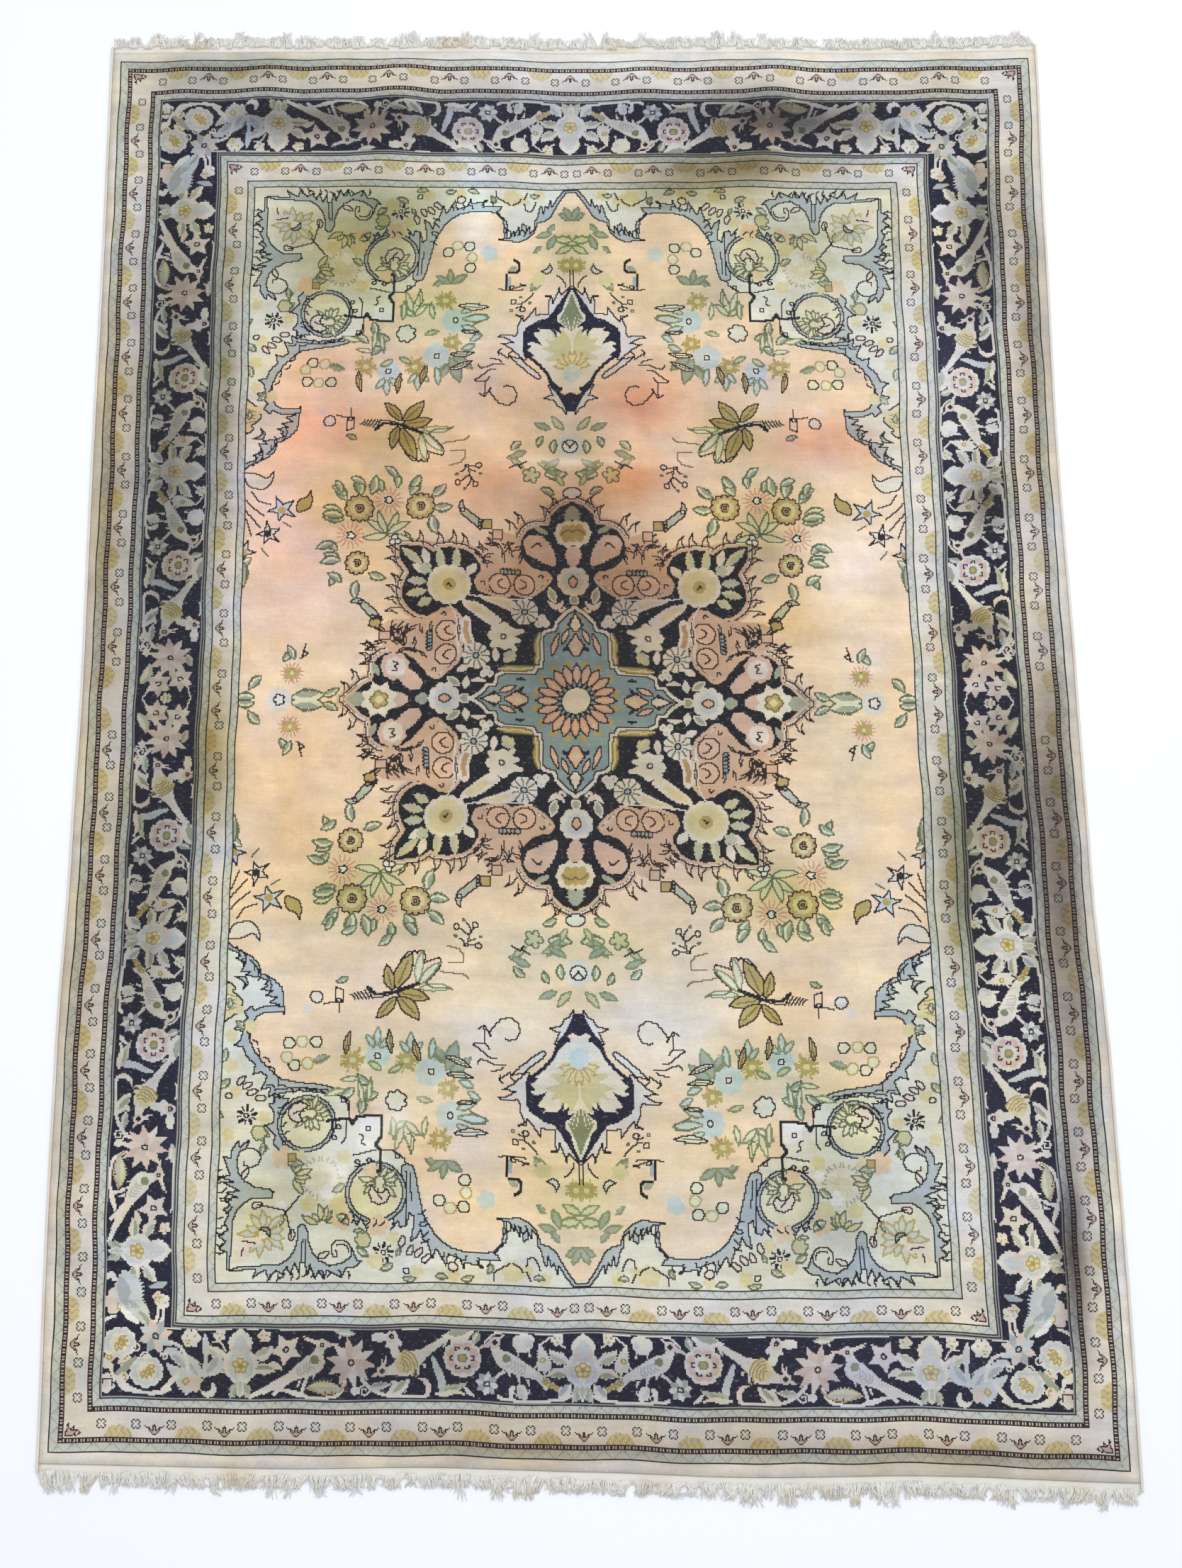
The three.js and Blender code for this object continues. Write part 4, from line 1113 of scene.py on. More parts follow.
SPANDREL_DABS = [
    # yarn, then place and radius of each soft patch of it
    ("peach_pale", [(245, 486, 16), (330, 545, 14), (222, 622, 13), (262, 615, 12), (372, 652, 8),
                    (232, 560, 9)]),
    ("gold_light", [(312, 545, 9), (268, 598, 11), (300, 598, 10), (262, 545, 9), (352, 500, 8),
                    (225, 660, 10), (180, 672, 9), (140, 676, 8), (385, 470, 8), (392, 520, 8),
                    (372, 395, 9), (392, 405, 8), (386, 375, 6), (392, 440, 9), (325, 618, 7),
                    (205, 635, 8), (60, 668, 8), (40, 676, 8)]),
    ("white", [(280, 585, 9), (262, 560, 7), (238, 512, 8), (330, 600, 7), (362, 520, 6)]),
]
SPANDREL_LEAVES = [
    # place, length, direction
    (398, 420, 16, 1.3), (392, 455, 18, 0.6), (398, 500, 15, -0.9), (362, 512, 20, 2.6),
    (352, 528, 14, 1.2), (325, 552, 18, 3.0), (262, 575, 16, 0.5), (268, 610, 18, 2.4),
    (232, 655, 16, -0.7), (206, 662, 16, 0.4), (182, 680, 14, -0.2), (160, 678, 14, 2.9),
    (118, 676, 14, 0.2), (98, 662, 12, 1.1), (52, 676, 12, 3.0), (388, 388, 14, 2.2),
    (398, 362, 12, 1.5), (330, 610, 12, 1.3), (248, 628, 14, 2.7), (198, 645, 10, 1.0),
]
SPANDREL_BUDS = [
    # place, direction
    (379, 457, 0.9), (372, 463, 0.5), (366, 471, 0.2), (356, 478, 0.0), (372, 563, 1.1), (282, 654, 0.4),
    (195, 638, 1.4), (186, 648, 1.2), (177, 651, 0.9), (169, 658, 0.8), (318, 632, 1.4), (357, 598, 0.2),
]
SPANDREL_EDGE = [
    (410, 292), (384, 309), (364, 330), (345, 345), (337, 360), (336, 378), (360, 378), (370, 388),
    (374, 405), (366, 425), (345, 450), (315, 462), (278, 466), (264, 478), (258, 502), (248, 499),
    (221, 498), (221, 537), (200, 544), (190, 553), (181, 566), (175, 597), (160, 631), (127, 650),
    (95, 647), (86, 635), (84, 611), (60, 612), (46, 636), (24, 650), (12, 672), (-4, 681), (-4, 700),
    (410, 700),
]
CRESCENT = [
    (5, 376), (8, 388), (12, 396), (20, 405), (25, 412), (28, 420), (30, 430), (33, 435), (42, 443),
    (50, 449), (57, 453), (60, 457), (61, 480), (59, 485), (53, 492), (48, 495), (40, 500), (30, 504),
    (23, 506), (22.5, 513), (18, 522), (12.5, 528), (7, 537), (2, 546), (-2, 546), (3, 540), (8, 527),
    (12, 513), (17.5, 507), (18, 500), (14, 497.5), (7.5, 491), (15, 491.7), (12.5, 481.7), (20, 488),
    (18.5, 477), (25, 488), (32, 489), (43, 490), (39, 486), (49, 483), (45, 478), (38, 467),
    (50, 471.7), (56.7, 468), (50, 465), (55, 460), (51.7, 456.7), (46.7, 452), (54, 451), (38, 438),
    (27, 428), (22, 418), (16, 411), (9, 408), (13, 402), (7, 399), (2, 402), (-2, 402), (-2, 376),
]
FIELD_LINES = [
    # yarn, knots, places
    ("ink", 1, [(99, 405), (100, 400), (96.7, 395), (88, 385), (76.7, 383), (68, 390), (66, 400),
                (70, 408), (78, 410), (81.7, 407.5)]),
    ("ink", 1, [(113, 397.5), (105.8, 394), (99, 405)]),
    ("ink", 1, [(106.7, 395), (105, 415), (100, 421)]),
    ("ink", 1, [(119, 416.7), (116, 415), (105, 415)]),
    ("ink", 1, [(119, 416.7), (110, 423), (99, 431.7), (93, 431.7)]),
    ("ink", 1, [(115, 438), (111.7, 433), (103, 435), (96.7, 438), (82.5, 438)]),
    ("ink", 1, [(100, 446), (90, 445), (86, 441.7)]),
    ("ink", 1, [(86.7, 460), (91, 456.7), (90, 450)]),
    ("ink", 1, [(90, 455), (78, 446.7), (78, 453), (74, 457.5)]),
    ("ink", 1, [(130.8, 302.5), (126.7, 298), (124, 286.7), (123, 280), (127.5, 274)]),
    ("ink", 1, [(135.8, 281), (126.7, 288)]),
    ("ink", 1, [(123, 286), (119, 280)]),
    ("ink", 1, [(135.8, 293), (130.8, 297.5), (130, 301.7), (118, 301)]),
    ("ink", 1, [(116.7, 293), (126.7, 297.5)]),
    ("ink", 1, [(69, 516.7), (62.5, 520), (61.7, 523), (68, 523)]),
    ("ink", 1, [(62.5, 523), (55, 529), (48, 538)]),
    ("ink", 1, [(76.7, 299), (66.7, 305), (61.7, 298), (65, 303), (55, 308)]),
    ("ink", 1, [(91.7, 544), (81.7, 541.7), (68, 541.7), (60, 544)]),
    ("ink", 2, [(82, 545), (81, 564)]),
    ("ink", 1, [(78, 543), (67, 547), (57.5, 549), (65, 551)]),
    ("ink", 2, [(79, 567.5), (70, 566.7), (65, 571.7), (65, 580), (71.7, 585)]),
    ("ink", 1, [(8, 546), (8, 552), (12, 558), (17.5, 563)]),
    ("ink", 1, [(2.5, 547.5), (1.7, 570)]),
    ("ink", 1, [(96, 680), (94.5, 670), (90, 667), (78, 661)]),
    ("ink", 1, [(75, 661), (66.7, 665), (64, 670)]),
    ("ink", 1, [(60, 670), (55, 679)]),
    ("ink", 1, [(60, 663), (59, 655), (54, 653), (49, 657), (45, 667)]),
    ("ink", 1, [(400, 231), (393, 209)]),
    ("ink", 1, [(402, 243), (382, 219)]),
    ("ink", 1, [(402, 257), (391, 245), (378, 235)]),
    ("ink", 1, [(393, 267), (385, 255), (369, 250)]),
    ("brown", 1, [(330, 51), (320, 59), (326, 61), (322, 70)]),
    ("brown", 1, [(327, 55), (324, 62)]),
    ("ink", 2, [(282, 505), (258, 502), (254, 508), (248, 499), (221, 498), (221, 522), (228, 532),
                (222, 537), (221, 560), (224, 562)]),
    ("ink", 1, [(263, 477), (258, 483), (258, 502)]),
    ("ink", 1, [(221, 537), (210, 537.5), (203, 542), (195, 548), (193, 553)]),
    ("ink", 1, [(192.5, 561), (191, 587), (191, 620)]),
    ("ink", 1, [(188, 563), (186, 593)]),
    ("ink", 1, [(342, 468), (315, 465), (280, 470)]),
    ("ink", 1, [(357, 597), (330, 604), (325, 605), (320, 627), (318, 635)]),
    ("ink", 1, [(310, 589), (328, 611)]),
    ("ink", 1, [(277, 348), (277, 367), (268, 367), (268, 352), (277, 348)]),
    ("ink", 1, [(277, 366), (290, 369)]),
    ("ink", 1, [(272, 367), (272, 378)]),
    ("ink", 2, [(241, 350), (232, 358), (213, 357.5), (200, 353), (182, 346)]),
    ("olive_dark", 1, [(158, 332.5), (130, 336), (124, 341.7)]),
    ("olive_dark", 1, [(150, 302), (137, 305), (130, 313), (130, 321), (148, 321)]),
    ("green_line", 1, [(175, 346), (166.7, 351), (146.7, 352), (144, 354)]),
    ("green_line", 1, [(123, 493), (115, 497.5), (105, 501.7), (105, 508), (116.7, 508), (130, 503)]),
    ("green_line", 1, [(192.5, 520), (190, 518), (185, 526.7), (186, 536.7), (188, 541.7), (191.7, 533)]),
    ("green_line", 1, [(380, 193), (371, 182)]),
    ("green_line", 1, [(355, 227), (345, 221)]),
]
SMALL_RINGS = [
    # yarn, radius, places
    ("ink", 3.3, [(139, 279), (117.5, 277), (113.8, 301.7), (61, 515), (72, 526), (192, 671), (392, 475)]),
    ("ink", 2.4, [(202.5, 544.7), (382, 318), (264, 482), (269, 512), (273, 524), (236, 513),
                  (234, 549), (247, 551), (272, 364), (75, 546)]),
    ("green_line", 1.5, [(130.8, 271), (140, 290), (112, 291), (74.7, 514), (63, 532.5), (52, 524.5)]),
]


def five_point(chart, at, tips, yarn, edge, heart):
    """An outlined flower of five pointed petals, its tips given about its middle."""
    outline = []
    for before, tip in zip(tips[-1:] + tips[:-1], tips):
        middle = (np.array(before) + tip) / 2
        outline += [at + (middle - at) * 0.45, np.array(tip, float)]
    chart.patch(np.array(outline), yarn, edge)
    chart.disc(at, 5, heart, petals=5)


def chrysanthemum(chart, at, radius, petals, first, last, yarn="leaf_pale", edge="green_line"):
    """Narrow line-drawn petals fanned between two directions."""
    for k in range(petals):
        a = first + (last - first) * k / (petals - 1)
        length = radius * (0.85 + 0.15 * math.cos(k * 2.4))
        chart.leaf(turned([(radius * 0.22, 0)], a)[0] + at, length - radius * 0.22, radius * 0.26, a, yarn,
                   edge=edge,
                   curl=1.5 * math.sin(k * 1.7))


def roundel(chart, heart, radius, way):
    """A ringed flower head: petals fanned over one side, a brown-edged tulip in the other."""
    chrysanthemum(chart, heart, radius, 11, way - 2.3, way + 2.3)
    tulip = [(4, -9), (13, -12), (23, -8), (26, 0), (23, 8), (14, 12), (8, 9), (13, 3), (12, -3)]
    chart.patch(turned(tulip, way + math.pi) + heart, "cream_rose", "brown")
    chart.stem(turned([(8, -2), (15, -1), (20, 3)], way + math.pi) + heart, "brown")


def daisy(chart, at, radius):
    """Dark dashes about a small ringed eye."""
    for k in range(10):
        a = 2 * math.pi * (k + 0.3) / 10
        chart.thread(turned([(radius * 0.55, 0), (radius, 0)], a) + at, "ink", 2 if k % 2 else 1)
    chart.hoop(at, 2.4, "ink")


def quatrefoil(chart, at, radius, yarn):
    """A small ring round four dots."""
    chart.patch(round_outline(radius, n=14) + at, "leaf_pale", yarn)
    for k in range(4):
        chart.thread(turned([(radius * 0.45, 0)], math.pi / 2 * k) + at, yarn)


def sunburst(chart, at, radius, yarn="gold", rays=15):
    """Short rays in all directions, without an outline."""
    for k in range(rays):
        a = 2 * math.pi * k / rays
        far = radius * (0.82 + 0.18 * math.sin(k * 2.7))
        chart.thread(turned([(radius * 0.25, 0), (far, 0)], a) + at, yarn, 2 if k % 3 else 1)
    chart.disc(at, radius * 0.25, "gold_light")


def blue_aster(chart, at, radius):
    """A pale blue flower with a small dark ring in its heart."""
    chart.disc(at, radius, "sky_pale", petals=8, depth=0.25)
    for k in range(8):
        chart.thread(turned([(radius * 0.5, 0), (radius * 0.85, 0)], math.pi * (k + 0.5) / 4) + at,
                     "steel_light")
    chart.disc(at, 5, "cream")
    chart.hoop(at, 3.4, "ink")


def outlined_leaf(chart, at, length, turn, yarn="gold", edge="brown", width=0.4, curl=2.0):
    """A pointed leaf with a line round it and a middle rib."""
    chart.leaf(at, length, length * width, turn, yarn, curl=curl, edge=edge)
    chart.thread(turned([(length * 0.15, curl * 0.4), (length * 0.75, curl)], turn) + at, "olive_dark")


def knot_side_field(chart):
    """Sprays, pointed flowers and the scroll leaf against the field's side."""
    chart.disc((353, 0), 15, "cloud_pale", petals=9, depth=0.15)
    chart.patch(round_outline(7, 5, 0.3, n=50) + (353, 0), "cream", "brown")
    for at, length, turn in (((383, 4), 22, -0.1), ((338, 3), 40, 3.0), ((300, 5), 20, 2.6)):
        green_leaf(chart, at, length, turn)
    pink_aster(chart, (339, 33), 13)
    sunburst(chart, (339, 33), 10, "gold", 11)
    green_leaf(chart, (375, 30), 22, -0.9)
    green_leaf(chart, (350, 48), 17, 2.0)
    green_leaf(chart, (337, 50), 20, 1.1)
    green_leaf(chart, (392, 180), 30, -0.75)
    green_leaf(chart, (404, 178), 36, -1.7)
    five_point(chart, np.array((401.0, 188.0)), [(386, 188), (396, 203), (410, 200), (416, 184),
                                                 (404, 172)],
               "steel_light", "ink", "gold")
    five_point(chart, np.array((373.0, 212.0)), [(377, 199), (358, 201), (359, 219), (375, 229),
                                                 (387, 211)],
               "ecru", "ink", "brown")
    five_point(chart, np.array((356.0, 243.0)), [(360, 229), (339, 234), (340, 256), (363, 262),
                                                 (374, 241)],
               "steel_light", "ink", "gold")
    chart.blob([(338, 242), (325, 244), (318, 253), (319, 269), (323, 261), (333, 257)], "gold", "brown")
    chart.blob([(401, 291), (398, 276), (388, 272), (378, 271), (368, 280), (365, 294), (373, 286),
                (387, 291)],
               "ecru", "ink")
    for at, length, turn in (((281, 150), 20, 0.5), ((284, 178), 24, -0.2), ((293, 200), 22, -0.4),
                             ((280, 235), 26, 0.1), ((276, 262), 22, 0.6)):
        green_leaf(chart, at, length, turn)


def knot_spandrels(chart):
    """Acanthus bands, roundels and brackets that fill the field's corners."""
    chart.fill(SPANDREL_EDGE, "spandrel")
    for yarn, edge, points in ACANTHUS:
        chart.patch(points, yarn, edge)
    for at, radius, heart, way in (((304, 507), 28, (299, 496), 3.0), ((226, 585), 30, (222, 573), -1.6)):
        chart.patch(round_outline(radius + 4) + at, "mist", "ink")
        chart.patch(round_outline(radius) + at, "leaf_pale", "ink")
        roundel(chart, heart, radius - 5, way)
    chart.blob([(403, 345), (392, 350), (395, 354), (387, 360), (383, 367), (387, 377), (393, 383),
                (406, 388)],
               "gold_light", "ink")
    for k in range(4):
        chart.thread([(404, 356 + 7 * k), (390, 360 + 4 * k)], "gold_dark")
    for u, v, length, turn in ((212, 354, 31, -1.37), (208, 352, 45, -2.03), (206, 358, 37, 2.92),
                               (206, 362, 38, 2.32), (208, 362, 33, 0.81)):
        outlined_leaf(chart, (u, v), length, turn)
    for u, v, length, turn in ((184, 346, 38, -1.78), (182, 348, 37, -2.36), (182, 352, 38, 3.09)):
        chart.leaf((u, v), length, 9, turn, "leaf_pale", edge="sage", curl=2)
    chart.stem([(240, 361), (226, 362), (211, 358), (203, 352), (183, 346)], "ink")
    chart.stem([(236, 355), (228, 359), (210, 357)], "ink")
    for k in range(6):
        chart.thread([(260 - 4 * k, 357 - k), (256 - 4 * k, 360), (254 - 4 * k, 363)], "ink")
    chart.disc((298, 361), 7, "cloud_pale", "brown")
    chart.disc((308, 374), 6, "cream_rose")
    for at in ((371, 497.5), (216, 651)):
        daisy(chart, at, 11)
    chart.disc((288, 569), 25, "ecru", petals=16, depth=0.12)
    for k in range(26):
        a = 2 * math.pi * k / 26
        chart.thread(turned([(19, 0), (24, 1.5 * math.sin(k * 2.1))], a) + (288, 569), "moss")
    for k in range(12):
        chart.thread(turned([(5, 0), (13, 2)], math.pi * k / 6) + (288, 569), "gold_light")
    for at, first in (((322, 566), 2.2), ((284, 622), -2.6)):
        chrysanthemum(chart, at, 26, 6, first, first + 2.1, "gold_light", "green_line")
    for yarn, places in SPANDREL_DABS:
        for u, v, radius in places:
            chart.disc((u, v), radius, yarn, petals=5, depth=0.35, turn=u)
    for u, v, length, turn in SPANDREL_LEAVES:
        green_leaf(chart, (u, v), length, turn)
    for u, v, turn in SPANDREL_BUDS:
        chart.ribbon([(*p, w) for p, w in zip(turned([(-6, 0), (-2, 0), (4, 0), (6, 0)], turn) + (u, v),
                                              (2, 6, 6, 1))],
                     "cream_rose", "brown")
    chart.patch([(325, 541), (315, 541), (315, 549), (325, 549)], "gold", "olive_dark")
    chrysanthemum(chart, (349, 630), 29, 13, 0, 5.8, "sky_pale", "gold")
    chart.ribbon([(354, 625, 1), (346, 626, 5), (342, 634, 1)], "moss", "ink")
    chart.patch([(377, 635), (352, 635), (352, 644), (366, 646), (366, 658), (377, 658)], "cream_rose")
    chart.thread([(372, 638), (358, 641)], "brown")
    chart.thread([(371, 645), (373, 655)], "brown")
    for at in ((357, 517), (238, 638)):
        chart.patch(round_outline(9, 6, 0.25, n=50) + at, "leaf_fill", "green_line")
    chart.stem([(353, 523), (350, 530), (347, 535)], "green_line")
    for u, v, length, turn in ((252, 467, 20, 0.6), (235, 463, 18, -0.8), (243, 477, 20, 1.4),
                               (225, 472, 18, 0.2), (213, 287, 20, 0.7), (281, 267, 18, 1.0),
                               (253, 277, 20, 0.4), (197, 275, 20, 2.2), (263, 337, 14, 0.3)):
        green_leaf(chart, (u, v), length, turn)
    for start, stop, count, length, turn in HATCHING:
        for k in range(count):
            at = np.array(start) + (np.array(stop) - start) * k / (count - 1)
            lean = turn + 0.4 * math.sin(2.3 * k)
            chart.thread(turned([(0, 0), (length * 0.6, 1), (length, -1.5)], lean) + at, "ink")
    for line in SPANDREL_CURLS:
        chart.stem(line, "ink")


FIELD_SPRAYS = [
    # place, length, width, direction and yarn of the leaves sprayed over the field's ends
    ((150, 447), 36, 15, -1.9, "moss"), ((146, 449), 30, 11, -2.5, "moss"),
    ((228, 418), 22, 8, -1.6, "sky_pale"), ((231, 420), 18, 7, -0.9, "sky_pale"),
    ((225, 420), 18, 7, -2.3, "sky_pale"), ((190, 424), 22, 8, -1.6, "sky_pale"),
    ((192, 426), 16, 7, -0.9, "sky_pale"), ((187, 426), 16, 7, -2.3, "sky_pale"),
    ((168, 434), 24, 8, -1.7, "sky_pale"), ((195, 505), 36, 8, 1.3, "leaf_pale"),
    ((195, 505), 30, 8, 1.8, "leaf_pale"), ((195, 505), 24, 7, 2.4, "leaf_pale"),
    ((195, 505), 24, 7, 0.7, "leaf_pale"), ((172, 500), 24, 6, 1.5, "leaf_pale"),
    ((210, 500), 26, 6, 1.6, "leaf_pale"), ((136, 500), 34, 10, 3.0, "sky_pale"),
    ((138, 508), 28, 8, 2.6, "sky_pale"), ((138, 490), 24, 8, -2.8, "sky_pale"),
    ((150, 548), 24, 9, 2.6, "moss"), ((150, 548), 22, 8, 1.5, "moss"),
    ((150, 548), 22, 8, 0.6, "moss"), ((246, 456), 22, 6, 0.1, "leaf_pale"),
    ((236, 482), 28, 6, -1.7, "leaf_pale"), ((243, 484), 24, 6, -1.4, "leaf_pale"),
    ((262, 470), 24, 7, 0.3, "leaf_pale"), ((214, 448), 18, 7, -2.6, "leaf_fill"),
    ((222, 446), 18, 7, -0.5, "leaf_fill"), ((120, 466), 18, 8, -0.4, "sky_pale"),
    ((126, 470), 18, 7, 2.6, "sky_pale"), ((182, 478), 18, 6, 2.9, "leaf_fill"),
    ((0, 640), 20, 9, 0.5, "moss"), ((0, 640), 22, 8, 1.1, "moss"), ((26, 622), 20, 8, -0.3, "moss"),
    ((0, 612), 24, 10, 0.15, "gold_light"), ((0, 604), 22, 9, -0.5, "gold_light"),
    ((30, 600), 22, 9, 2.0, "moss"), ((20, 290), 26, 9, 0.9, "moss"),
    ((18, 300), 24, 8, 0.3, "leaf_fill"), ((14, 312), 24, 8, -0.5, "moss"),
    ((24, 352), 22, 8, 0.4, "moss"), ((8, 352), 24, 8, 0.9, "leaf_fill"),
    ((55, 322), 22, 8, -0.4, "moss"), ((60, 300), 20, 7, 0.6, "leaf_fill"),
    ((10, 278), 18, 7, 1.1, "leaf_fill"),
]


def knot_end_field(chart):
    """Asters, bursts and the pendant between the medallion and the field's end."""
    chart.disc((0, 330), 17, "cloud_pale", petals=12, depth=0.12)
    chart.disc((1, 330), 8, "cream", "brown")
    chart.thread([(-2, 326), (1, 330), (5, 336)], "brown")
    chart.patch(round_outline(8, 3, 0.3, n=40) + (3, 268), "cream", "ink")
    for u, v, length, turn in ((22, 266, 18, 0.3), (33, 292, 28, 3.0), (60, 335, 18, -0.8),
                               (33, 342, 16, -1.2), (18, 338, 18, -1.5), (66, 309, 14, 0.2)):
        green_leaf(chart, (u, v), length, turn)
    chart.patch(round_outline(11, 5, 0.5, 0.5, n=50) + (50, 290), "leaf_fill", "green_line")
    chart.fill([(-2, 402), (9, 406), (16, 411), (22, 418), (29, 430), (38, 439), (54, 451), (57, 468),
                (50, 478), (43, 490), (30, 496), (20, 500), (14, 512), (6, 535), (-2, 542)], "ecru")
    for turn, length in ((-0.3, 34), (0.1, 38), (0.5, 36), (0.9, 34), (1.3, 34)):
        chart.leaf((2, 458), length, 11, turn, "leaf_fill", curl=2 * math.cos(length))
    for k in range(9):
        a = -0.1 + 1.75 * k / 8
        chart.leaf(turned([(5, 0)], a)[0] + (0, 436), 18, 5, a, "gold_light",
                   edge="gold" if k % 2 else None)
    chart.disc((0, 428), 13, "sky_pale", petals=9, depth=0.3)
    chart.fill(CRESCENT, "navy")
    chart.thread([(5, 382), (14, 400), (24, 412), (29, 428), (38, 439), (48, 447), (58, 454)], "navy", 2)
    chart.thread([(59, 456), (60, 482), (50, 493), (30, 502), (21, 512), (12, 527), (2, 545)], "navy", 2)
    for k in range(7):
        chart.thread([(1 + 2.2 * k, 486 + 2.5 * k), (0.5 + 0.6 * k, 536 - 2 * k)], "sage")
    for at, radius in (((227, 430), 15), ((167, 449), 18), ((145, 498), 17)):
        blue_aster(chart, at, radius)
    for at, radius in (((255, 435), 15), ((194, 435), 15), ((157, 525), 14), ((6, 577), 13),
                       ((148, 468), 12)):
        sunburst(chart, at, radius)
    for at, length, turn in (((150, 440), 30, -0.9), ((280, 430), 24, 0.3), ((155, 556), 22, -0.5),
                             ((52, 540), 26, 2.2), ((37, 605), 16, -0.8), ((12, 652), 18, -2.6),
                             ((22, 636), 18, -0.9), ((5, 620), 14, -1.6)):
        chart.leaf(at, length, length * 0.45, turn, "sage", "moss", teeth=0.2)
    for at, length, width, turn, yarn in FIELD_SPRAYS:
        chart.leaf(at, length, width, turn, yarn, edge="sage", curl=1.5 * math.sin(length), teeth=0.15)
    chart.patch(round_outline(12, 7, 0.25, n=50) + (205, 481), "ecru", "ink")
    chart.disc((103, 592), 11, "sky_pale", petals=5, depth=0.3)
    chart.disc((42, 556), 10, "gold_light", petals=5, depth=0.3)
    for at, turn in (((211, 426), -1.5), ((179, 436), -1.35), ((263, 428), -1.75)):
        outlined_leaf(chart, at, 27, turn, "tan", "brown", 0.26)
    for at, length, turn in (((150, 452), 30, 3.0), ((150, 432), 30, 2.7), ((138, 484), 22, 3.1),
                             ((141, 518), 38, 3.1)):
        outlined_leaf(chart, at, length, turn, "ecru", "ink", 0.22)
    for at, yarn in (((127, 571), "ink"), ((155, 593), "ink"), ((128, 601), "ink"), ((125, 585), "gold"),
                     ((143, 602), "gold"), ((297, 413), "ink"), ((327, 415), "ink"), ((320, 440), "ink"),
                     ((313, 413), "gold"), ((329, 431), "gold"), ((305, 438), "gold")):
        quatrefoil(chart, at, 6.6, yarn)
    chart.fill([(80, 546), (76, 546), (76, 560), (80, 562)], "steel")
    chart.leaf((80, 568), 14, 8, 2.6, "moss", teeth=0.1)
    chart.patch([(38, 568), (33, 565), (26.7, 566.7), (24, 571.7), (26.7, 579), (30, 571.7)], "cream_rose",
                "ink")
    chart.disc((75, 670), 13, "gold_light", petals=7, depth=0.3)
    chart.disc((140, 667), 5, "cream_rose", "brown")
    chart.patch([(247, 500), (223, 500), (223, 522), (236, 522)], "white", None)


def knot_field(chart):
    knot_rosettes(chart)
    knot_side_field(chart)
    knot_spandrels(chart)
    knot_end_field(chart)
    for yarn, knots, points in FIELD_LINES:
        chart.thread(points, yarn, knots)
    for yarn, radius, places in SMALL_RINGS:
        for at in places:
            chart.hoop(at, radius, yarn)


def srgb(hex_colour):
    """An sRGB hex colour as three numbers from 0 to 1."""
    return np.array([int(hex_colour[i:i + 2], 16) / 255 for i in (1, 3, 5)])


def linear_rgb(colour):
    """Linear colour of an sRGB hex or of an array of sRGB values."""
    value = srgb(colour) if isinstance(colour, str) else np.clip(colour, 0, 1)
    return np.where(value <= 0.04045, value / 12.92, ((value + 0.055) / 1.055) ** 2.4)


YARN_COLOUR = np.array([srgb(value) for value in YARN_HEX.values()])

# How the ground of the field has aged, with painted sheen of the nap where it turns pinker or paler,
# in places on the whole rug: u across, v towards the far end
FIELD_WASHES_AND_SHEEN = [
    # place, radii, colour that the ground has there, strength
    ((-345, 240), (90, 230), "#e4b7a1", 0.95), ((-290, 350), (140, 65), "#d79a7e", 0.9),
    ((-90, 400), (90, 60), "#cfae94", 0.9), ((85, 385), (80, 60), "#cf8e6c", 0.9),
    ((70, 285), (90, 50), "#c58761", 0.9), ((-100, 275), (130, 70), "#c1906e", 0.9),
    ((300, 335), (115, 50), "#d79c80", 0.95), ((330, 430), (70, 45), "#ddc2a3", 0.8),
    ((0, 330), (60, 80), "#b09a75", 0.85), ((-215, 345), (65, 50), "#a8935f", 0.7),
    ((205, 345), (65, 50), "#a8935f", 0.7), ((-255, 255), (95, 85), "#bf9d68", 0.9),
    ((235, 225), (85, 100), "#b9a273", 0.9), ((-330, -90), (70, 130), "#e3bf95", 0.9),
    ((-335, 30), (60, 60), "#e6cfae", 0.7), ((330, 160), (65, 120), "#ecdccb", 0.9),
    ((260, 95), (50, 45), "#e3c189", 0.8), ((320, -60), (80, 170), "#d9c9ae", 0.95),
    ((-250, -235), (110, 75), "#c0ad76", 0.9), ((240, -235), (100, 75), "#bfb07c", 0.9),
    ((-350, -330), (90, 90), "#e3cfad", 0.8), ((330, -330), (90, 90), "#e3d1b2", 0.8),
    ((0, -300), (200, 60), "#d0c59f", 0.85), ((-90, -385), (120, 80), "#dfd8ca", 0.97),
    ((100, -385), (120, 80), "#dfdcd2", 0.97), ((-220, -440), (100, 60), "#cabb90", 0.85),
    ((220, -450), (110, 60), "#cdc39e", 0.85), ((-110, -540), (80, 100), "#dcc9ae", 0.95),
    ((120, -560), (80, 100), "#d8cbb3", 0.95), ((0, -590), (70, 75), "#c9bd8c", 0.9),
    ((-120, 640), (34, 70), "#efe9e2", 0.95), ((-90, 560), (60, 60), "#e3c79f", 0.7),
    ((-170, 510), (110, 60), "#beb88e", 0.9), ((-300, 440), (90, 45), "#d6a883", 0.8),
    ((110, 620), (60, 80), "#d3b894", 0.9), ((150, 530), (110, 60), "#c6b490", 0.9),
    ((0, 600), (60, 70), "#b3a97e", 0.9),
]
